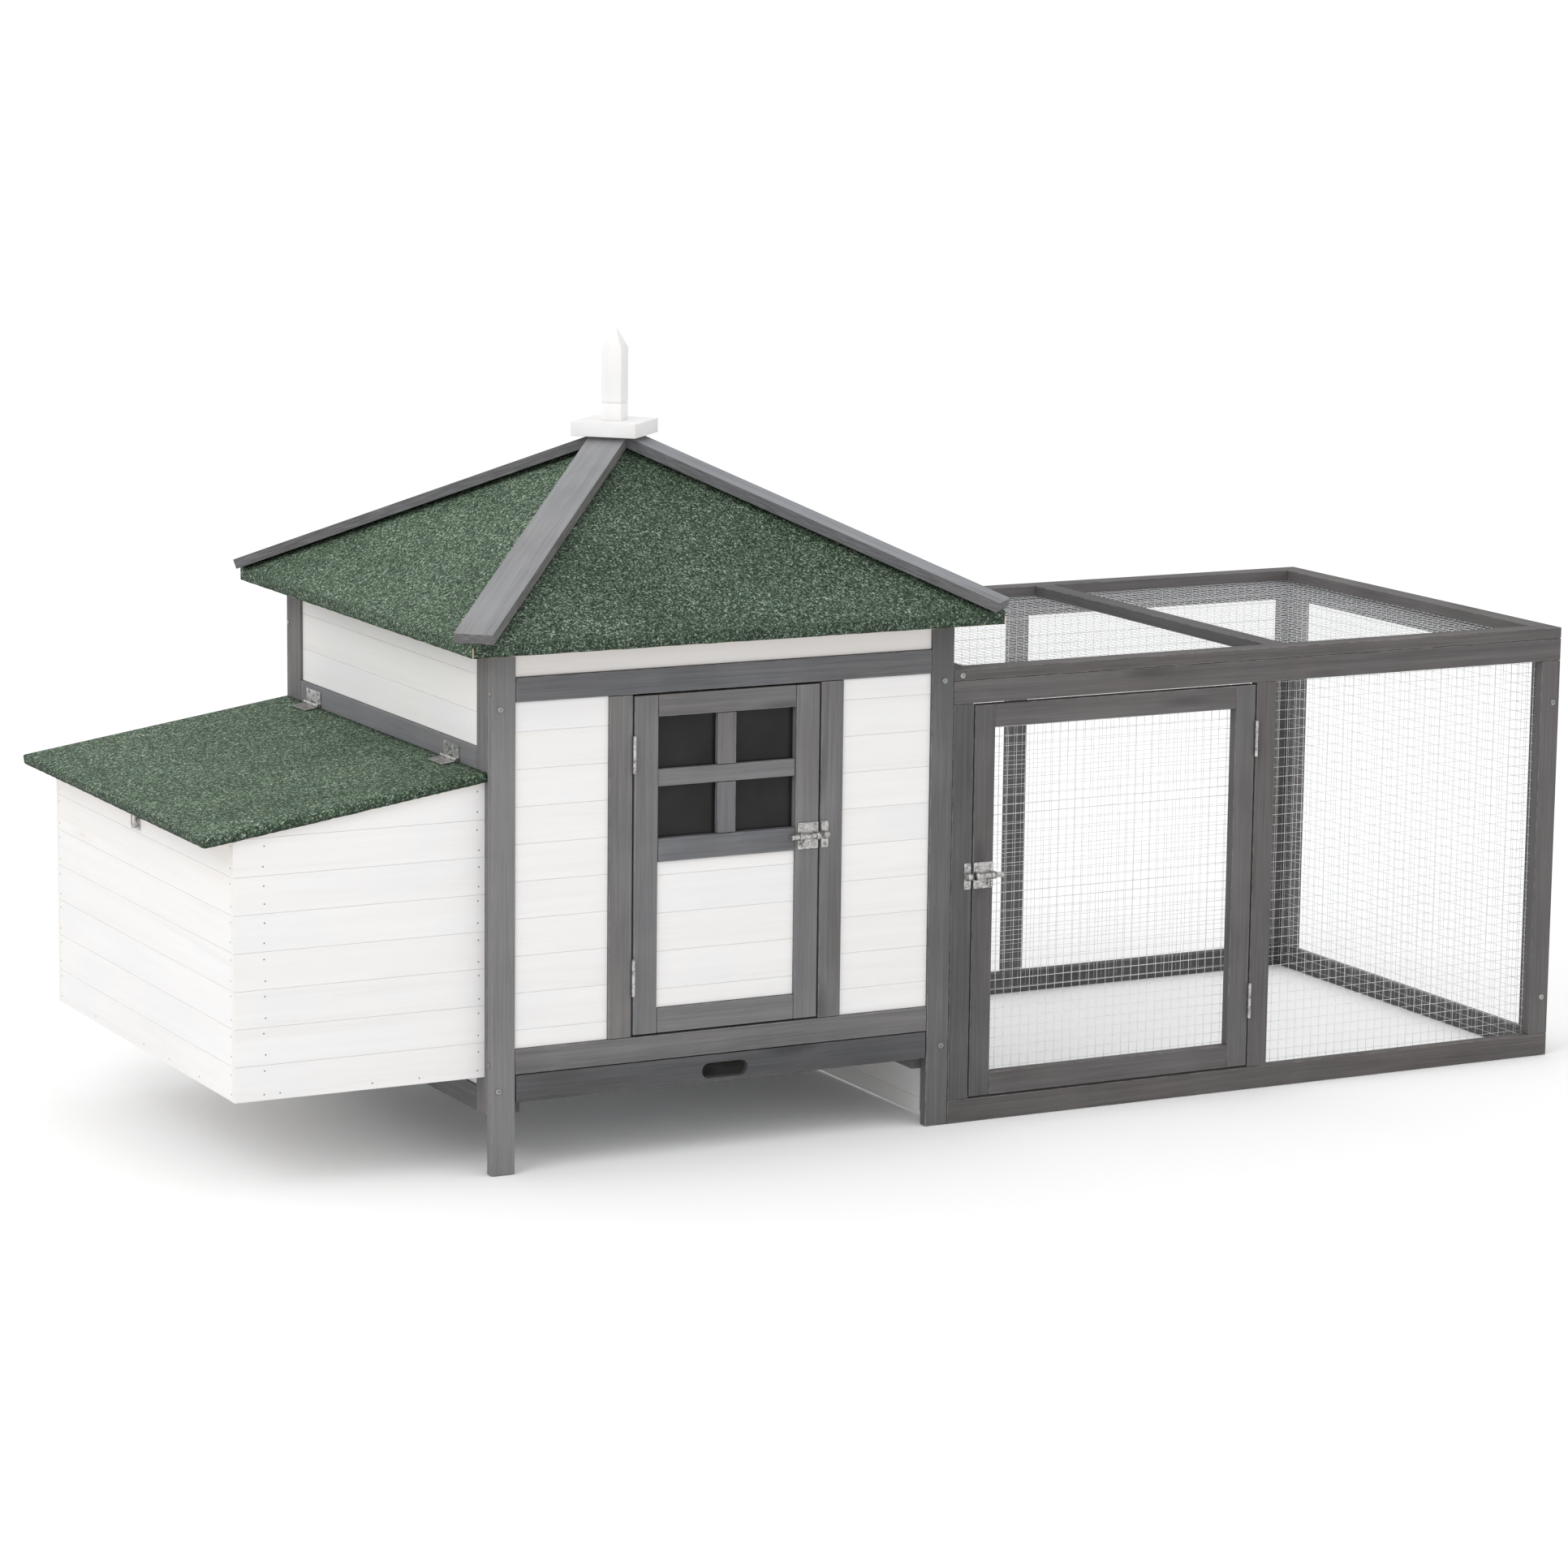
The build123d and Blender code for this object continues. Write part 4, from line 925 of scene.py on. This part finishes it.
# --- nest box lid ---
def lid_felt():
    """Felt folded over three edges of the lid, with open folds at the corners."""
    points = points_of("lid_felt")
    left_end = min(p.x for p in points) + 1e-5
    inner = max(points, key=lambda p: (round(p.x, 5), p.z)).copy()
    outer = max((p for p in points if p.x < left_end), key=lambda p: p.z).copy()
    low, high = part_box("lid_felt")
    down = Vector((outer.x - inner.x, 0, outer.z - inner.z))
    length = down.length
    down.normalize()
    up = Vector((-down.z, 0, down.x))
    if up.z < 0:
        up = -up
    y0, y1 = low[1], high[1]
    bm = new_bm()
    grain, _, edge, _ = layers(bm)
    base = Vector((inner.x, 0, inner.z))
    r = LID_FOLD
    nx, ny, skirt_rows = 46, 72, 7

    def profile(total):
        """A sheet folded over, as pairs: distance along, depth below the top."""
        bends = (0.4, 0.8, 1.2, math.pi / 2)
        flat = [(i / nx * (total - r), 0.0) for i in range(nx + 1)]
        arc = [(total - r + r * math.sin(a), r - r * math.cos(a)) for a in bends]
        fall = [(total, r + (LID_FOLD_DEPTH - r) * i / 3) for i in (1, 2, 3)]
        return flat + arc + fall

    def point(s, y, depth):
        return base + down * s + Vector((0, y, 0)) - up * depth

    offset = grain_offset()
    ragged = [rng.random() for _ in range(4 * ny)]

    def sheet(rows, first_skirt):
        grid = []
        for row in rows:
            line = []
            for p, g in row:
                v = bm.verts.new(p)
                v[grain] = Vector(g) + offset
                line.append(v)
            grid.append(line)
        for k, (a, b) in enumerate(zip(grid, grid[1:])):
            for i in range(len(a) - 1):
                f = bm.faces.new((a[i], a[i + 1], b[i + 1], b[i]))
                f.smooth = True
                # Painted shade on the skirts, darkest along their bottom row.
                f[edge] = 0.9 if k == len(grid) - 2 else 0.5 if k >= first_skirt else 0.0

    # top sheet with its outer skirt
    rows = []
    for k, (s, depth) in enumerate(profile(length)):
        side_gap = LID_CORNER_GAP if depth > 0 else r
        a, b = y0 + side_gap, y1 - side_gap
        row = []
        for i in range(ny + 1):
            y = a + (b - a) * i / ny
            lift = 0.8 * MM * ragged[i] if k == nx + skirt_rows else 0.0
            row.append((point(s, y, depth - lift), (s + depth, y, 0)))
        rows.append(row)
    sheet(rows, nx + 2)
    # the two side skirts, each from its own fold
    for sign, edge_y in ((-1, y0), (1, y1)):
        rows = []
        for k, (out, depth) in enumerate(profile(r * 2)[nx:]):
            side = edge_y - sign * (2 * r - out) if k else edge_y - sign * r
            row = []
            for i in range(ny + 1):
                s = (length - LID_CORNER_GAP) * i / ny
                lift = 0.8 * MM * ragged[ny + i] if k == skirt_rows else 0.0
                row.append((point(s, side, depth - lift), (s, side + depth * sign, 0)))
            rows.append(row)
        sheet(rows, 3)
    bmesh.ops.remove_doubles(bm, verts=bm.verts, dist=2e-5)
    # The lid takes the brighter felt copy, as painted light.
    obj = finish_node(bm, "lid_felt", "_sheet", FELT_LIT)
    solid = obj.modifiers.new("thickness", "SOLIDIFY")
    solid.thickness = 1.4 * MM
    solid.offset = -1.0


lid_felt()
remade("lid_deck", BARE, 0.6 * MM, along=Y_AXIS)


# --- welded mesh ---
def wire_sheet(node, outer_sign):
    """A welded grid in the node's plane, uprights on the inner side of the cross wires."""
    low, high = box_of(node)
    size = high - low
    flat = min(range(3), key=lambda i: size[i])
    a, b = [i for i in range(3) if i != flat]
    bm = new_bm()
    centre = (low + high) / 2
    for run, step, shift in ((a, b, 0.42), (b, a, -0.42)):
        count = int((high[step] - low[step]) // WIRE_PITCH)
        start = centre[step] - count * WIRE_PITCH / 2
        for i in range(count + 1):
            p, q = low.copy(), high.copy()
            jog = rng.uniform(-0.25, 0.25) * MM
            for end in (p, q):
                end[step] = start + i * WIRE_PITCH + jog
                end[flat] = centre[flat] + outer_sign * shift * MM
            rings = max(2, int((q[run] - p[run]) / (5 * WIRE_PITCH)))
            tube(bm, p, q, WIRE_R, 5, rings, WIRE_WOBBLE)
    finish_node(bm, node, "_wires", WIRE)


for part, outer_sign in (("front", -1), ("door", -1), ("back", 1), ("end", 1), ("top", 1)):
    wire_sheet("run_" + part + "_mesh", outer_sign)

# The pane's dark colour is painted shade of the inside.
remade("window_pane", PANE, 0.0)


# --- metal fittings ---
def screw(bm, at, normal, r=4.0 * MM, rise=1.3 * MM):
    """A domed cross-head screw lying on a face."""
    n = Vector(normal).normalized()
    side = n.orthogonal().normalized()
    other = n.cross(side)
    spin = rng.uniform(0, math.pi / 2)
    side, other = (
        side * math.cos(spin) + other * math.sin(spin),
        other * math.cos(spin) - side * math.sin(spin),
    )
    at = Vector(at)
    sides = 24
    rings = []
    dome = ((1.0, 0.0), (0.98, 0.35), (0.8, 0.85), (0.62, 1.0))
    for share, height in dome + ((0.6, 1.0), (0.5, 0.25)):
        points = []
        for j in range(sides):
            ang = 2 * math.pi * j / sides
            radius = share * r
            if share < 0.62:  # the cross recess
                radius *= 1.0 if abs(math.cos(2 * ang)) > 0.72 else 0.42
            reach = (side * math.cos(ang) + other * math.sin(ang)) * radius
            points.append(at + n * height * rise + reach)
        rings.append(ring_of(bm, points))
    skin(bm, rings)


def bolt_plate(node, corner):
    """A new mesh with a bolt part's pressed plate in it: rounded, its back on the timber."""
    low, high = box_of(node)
    bm = new_bm()
    centre = Vector(((low.x + high.x) / 2, high.y, (low.z + high.z) / 2))
    half_u, half_v = (high.x - low.x) / 2, (high.z - low.z) / 2
    outline = []
    for su, sv, start in ((1, 1, 0), (-1, 1, 90), (-1, -1, 180), (1, -1, 270)):
        for i in range(5):
            ang = math.radians(start + i * 22.5)
            x = su * (half_u - corner) + corner * math.cos(ang)
            outline.append((x, sv * (half_v - corner) + corner * math.sin(ang)))
    layers = []
    for shrink, rise in ((0.0, 0.0), (0.0, 0.7), (0.3, 1.0)):
        k = 1 - shrink * PLATE_THICK / max(half_u, half_v)
        back = centre - Y_AXIS * rise * PLATE_THICK
        layers.append(ring_of(bm, [back + X_AXIS * x * k + Z_AXIS * z * k for x, z in outline]))
    skin(bm, layers, smooth=False)
    return bm, low, high


def plate_screws(bm, low, high, columns, r):
    for x in columns:
        for z in (low.z + PLATE_SCREW_INSET, high.z - PLATE_SCREW_INSET):
            screw(bm, (x, high.y - PLATE_THICK, z), (0, -1, 0), r, 0.9 * MM)


def bolt_case(node, rod_node, toward):
    """A pressed barrel bolt case: plate, two raised barrels and four screws."""
    bm, low, high = bolt_plate(node, 2.0 * MM)
    axis_y, axis_z = low.y + BARREL_OUTER, rod_axis_z(rod_node)
    spans = ((0.0, 6.0), (23.5, 28.5)) if toward > 0 else ((0.5, 5.5), (23.0, 29.0))
    for a, b in spans:
        barrel(bm, low.x + a * MM, min(low.x + b * MM, high.x), axis_y, axis_z, high.y)
    plate_screws(bm, low, high, (low.x + 5.5 * MM, high.x - 5.5 * MM), 2.9 * MM)
    finish_node(bm, node, "_pressed", ZINC)


def rod_axis_z(rod_node):
    """A bolt's rod lies above its hanging handle, so its axis is a radius below its top."""
    low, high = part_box(rod_node)
    return high[2] - (high[1] - low[1]) / 2


def barrel(bm, x0, x1, y, z, wall):
    """A strap bent round the rod: an arch on legs that reach the plate."""
    steps = 14
    foot = wall - 0.2 * MM
    angles = [math.pi / 2 + math.pi * i / steps for i in range(steps + 1)]
    loops = []
    for x in (x0, x1):
        for r in (BARREL_OUTER, BARREL_INNER):
            arch = [Vector((x, y + r * math.cos(a), z + r * math.sin(a))) for a in angles]
            loops.append(ring_of(bm, [(x, foot, z + r)] + arch + [(x, foot, z - r)]))
    o0, i0, o1, i1 = loops
    for j in range(len(o0) - 1):
        bm.faces.new((o0[j], o0[j + 1], o1[j + 1], o1[j])).smooth = True
        bm.faces.new((i0[j + 1], i0[j], i1[j], i1[j + 1])).smooth = True
        bm.faces.new((o0[j + 1], o0[j], i0[j], i0[j + 1]))
        bm.faces.new((o1[j], o1[j + 1], i1[j + 1], i1[j]))
    for j in (0, len(o0) - 1):
        bm.faces.new((o0[j], o1[j], i1[j], i0[j]))


def bolt_keeper(node, rod_node):
    """The bolt's keeper: plate, one barrel and two screws."""
    bm, low, high = bolt_plate(node, 1.6 * MM)
    x, half = (low.x + high.x) / 2, 3.2 * MM
    barrel(bm, x - half, x + half, low.y + BARREL_OUTER, rod_axis_z(rod_node), high.y)
    plate_screws(bm, low, high, (x,), 2.7 * MM)
    finish_node(bm, node, "_pressed", ZINC)


def bolt_rod(node, toward):
    """A round rod with eased ends and a bent handle that hangs from it."""
    low, high = box_of(node)
    y, r = (low.y + high.y) / 2, (high.y - low.y) / 2 / MM
    z = rod_axis_z(node)
    handle_x = high.x - 22.5 * MM if toward > 0 else low.x + 22.5 * MM
    bm = new_bm()
    stops = ((0, 0.80), (0.6, 0.97), (1.4, 1.0), (38.6, 1.0), (39.4, 0.97), (40, 0.80))
    start = Vector((low.x, y, z))
    turned(bm, start, X_AXIS, Y_AXIS, Z_AXIS, [(s, r * k) for s, k in stops], 20)
    bend = ((0, 0), (-0.6, -4), (-1.3, -8), (-0.8, -11.5), (0.2, -14.6))
    path = [Vector((handle_x, y + dy * MM, z + dz * MM)) for dy, dz in bend]
    for a, b in zip(path, path[1:]):
        tube(bm, a, b, 1.55 * MM, 10)
    finish_node(bm, node, "_round", ZINC)


for door, toward in (("door", 1), ("run", -1)):
    bolt_case(door + "_bolt_case", door + "_bolt_rod", toward)
    bolt_keeper(door + "_bolt_keeper", door + "_bolt_rod")
    bolt_rod(door + "_bolt_rod", toward)

HINGES = ("door_hinge_post", "door_hinge_door", "run_hinge_post", "run_hinge_door")
HINGES += ("lid_hinge_wall", "lid_hinge_lid")
for node in [name + "_leaves" for name in HINGES] + ["hasp_mount", "hasp_strap", "hasp_staple"]:
    remade(node, ZINC, 0.12 * MM, segments=1, smooth_angle=30, suffix="_plated")


def hinge_screws():
    """Three screws in each leaf of the nest box lid's hinges."""
    wall, lid = new_bm(), new_bm()
    points = points_of("lid_hinge_lid_leaves")
    edge_x = min(p.x for p in points)
    slope = Vector((367.0, 0, 54.2)).normalized()
    up = Vector((-slope.z, 0, slope.x))
    r, rise = 2.6 * MM, 0.5 * MM
    for start in (97.0, 542.0):
        for i, dy in enumerate((9.0, 23.5, 38.0)):
            y = (start + dy - Y_MID) * MM
            z = (515.5 if i % 2 else 518.5) * MM
            screw(wall, ((-X_MID - 0.9) * MM, y, z), (-1, 0, 0), r, rise)
            at = Vector((edge_x, y, 0)) + slope * (5.0 if i % 2 else 3.6) * MM
            top = max(p.z for p in points if p.x < edge_x + 0.5 * MM)
            at.z = top + (at.x - edge_x) * slope.z / slope.x
            screw(lid, at - up * 0.05 * MM, up, r, rise)
    finish_piece(wall, "lid_hinge_wall_screws", "coop", ZINC_DULL)
    finish_piece(lid, "lid_hinge_lid_screws", "nest_lid", ZINC_DULL)


hinge_screws()


def hasp_ring():
    """A wire ring that hangs from the staple and locks the strap."""
    low, high = box_of("hasp_staple")
    bm = new_bm()
    big, small, turns, sides = 6.0 * MM, 0.75 * MM, 28, 8
    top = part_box("hasp_strap")[0][2] + 12 * MM + 1.3 * MM
    centre = Vector((low.x + 1.2 * MM, (low.y + high.y) / 2, top - big))
    loops = []
    for i in range(turns):
        a = 2 * math.pi * i / turns
        out = Vector((0.12 * math.sin(a), math.sin(a), -math.cos(a)))
        loops.append(ring_of(bm, circle(centre + out * big, out, X_AXIS, small, sides)))
    skin(bm, loops + loops[:1], caps=False)
    finish_piece(bm, "hasp_ring", "coop", ZINC_DULL)


hasp_ring()


# --- screws and nails ---
def fixings():
    """Screws at the frame joints and rows of nails in the nest box."""
    house_low, house_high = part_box("front_frame")
    run_low, run_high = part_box("run_front_frame")
    x0, x1, run, end = house_low[0], house_high[0], run_low[0], run_high[0]
    y0, y1 = house_low[1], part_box("back_frame")[1][1]
    # which upright, then millimetres along from it and up from the ground
    house = [(x0, 11.5, 580), (x0, 9.5, 106), (x1, -13.5, 577), (x1, -11, 104)]
    front = house + [(run, 12.5, 582), (end, -10, 488), (end, -11, 81)]
    rear = house + [(x1, 20, 582), (end, -10, 488), (end, -10, 81)]
    bm = new_bm()
    for y, facing, places in ((y0, -1, front), (y1, 1, rear)):
        for x, dx, z in places:
            screw(bm, (x + dx * MM, y, z * MM), (0, facing, 0))
    for y, z in ((6.5, 599), (9.0, 138)):
        for at_y in (y0 + y * MM, y1 - y * MM):
            screw(bm, (x0, at_y, z * MM), (-1, 0, 0), 3.2 * MM, 1.0 * MM)
    finish_piece(bm, "frame_screws", "coop", ZINC_DULL)

    bm = new_bm()
    outer_low, outer_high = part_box("nest_outer_wall")
    front_low, front_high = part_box("nest_front_wall")
    y_front, y_back = front_low[1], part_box("nest_back_wall")[1][1]
    xo, foot = outer_low[0], front_low[2]

    def nail(at, normal):
        at, n = Vector(at), Vector(normal)
        tube(bm, at - n * 0.6 * MM, at + n * 0.12 * MM, 1.05 * MM, 8)

    def column(make, z_low, z_high):
        """Nails up a corner, two to a board, each a little off its place."""
        z = z_low + 9 * MM
        flip = False
        while z < z_high - 6 * MM:
            make(z + rng.uniform(-2.5, 2.5) * MM)
            z += (20 if flip else 26) * MM
            flip = not flip

    def stray():
        return rng.uniform(-1.5, 1.5) * MM

    for y in (y_front + 10 * MM, y_back - 11 * MM):
        column(lambda z: nail((xo, y + stray(), z), (-1, 0, 0)), outer_low[2], outer_high[2])
    for wall_y, sign in ((y_front, -1), (y_back, 1)):
        for x, top in ((xo + 39 * MM, 442 * MM), (front_high[0] - 9 * MM, 484 * MM)):
            column(lambda z: nail((x + stray(), wall_y, z), (0, sign, 0)), foot, top)
        for x in (58, 178, 240):
            nail((xo + x * MM, wall_y, foot + 7.5 * MM), (0, sign, 0))
    for y in (139, 242, 331, 506):
        nail((xo, y0 + y * MM, outer_low[2] + 8 * MM), (-1, 0, 0))
    finish_piece(bm, "nest_nails", "coop", NAIL)


fixings()


# --- setting: floor, light and camera ---
FLOOR_HALF, FLOOR_DROP, FLOOR_COLOR = 90.0, 0.0005, (0.955, 0.955, 0.955, 1.0)
SKY_STRENGTH, KEY_POWER, KEY_SIZE = 1.07, 70, 2.8
KEY_AT, KEY_LOOK = Vector((-4.6, -2.4, 3.9)), Vector((-0.1, 0, 0.4))
CAMERA_AT, CAMERA_TURN = (-3.1124, -5.8985, 1.5837), (-27.555, 10.135, 0.649)


def setting():
    """Pale floor, white surroundings, one soft key light, and the photo's camera."""
    scene = bpy.context.scene
    mesh = bpy.data.meshes.new("floor")
    s = FLOOR_HALF
    mesh.from_pydata([(-s, -s, 0), (s, -s, 0), (s, s, 0), (-s, s, 0)], [], [(0, 1, 2, 3)])
    floor = bpy.data.objects.new("floor", mesh)
    floor.location.z = -FLOOR_DROP
    mesh.materials.append(Mat("pale_floor").finish(FLOOR_COLOR, 0.9, Specular_IOR_Level=0.0))
    scene.collection.objects.link(floor)

    scene.world = bpy.data.worlds.new("studio")
    scene.world.use_nodes = True
    background = scene.world.node_tree.nodes["Background"]
    background.inputs["Color"].default_value = (1.0, 1.0, 1.0, 1.0)
    background.inputs["Strength"].default_value = SKY_STRENGTH

    light = bpy.data.lights.new("key", "AREA")
    light.shape, light.size, light.energy = "SQUARE", KEY_SIZE, KEY_POWER
    key = bpy.data.objects.new("key", light)
    key.location = KEY_AT
    key.rotation_euler = (KEY_LOOK - KEY_AT).to_track_quat("-Z", "Y").to_euler()
    scene.collection.objects.link(key)

    camera = bpy.data.cameras.new("camera")
    camera.sensor_width, camera.lens, camera.clip_end = 36.0, 117.5, 400.0
    obj = bpy.data.objects.new("camera", camera)
    yaw, pitch, roll = (math.radians(a) for a in CAMERA_TURN)
    level = math.cos(pitch)
    forward = Vector((-math.sin(yaw) * level, math.cos(yaw) * level, -math.sin(pitch)))
    right = Vector((math.cos(yaw), math.sin(yaw), 0))
    up = right.cross(forward)
    right, up = (
        right * math.cos(roll) + up * math.sin(roll),
        up * math.cos(roll) - right * math.sin(roll),
    )
    turn = Matrix((right, up, -forward)).transposed()
    obj.matrix_world = Matrix.Translation(CAMERA_AT) @ turn.to_4x4()
    scene.collection.objects.link(obj)
    scene.camera = obj
    scene.view_settings.view_transform = "Standard"


setting()
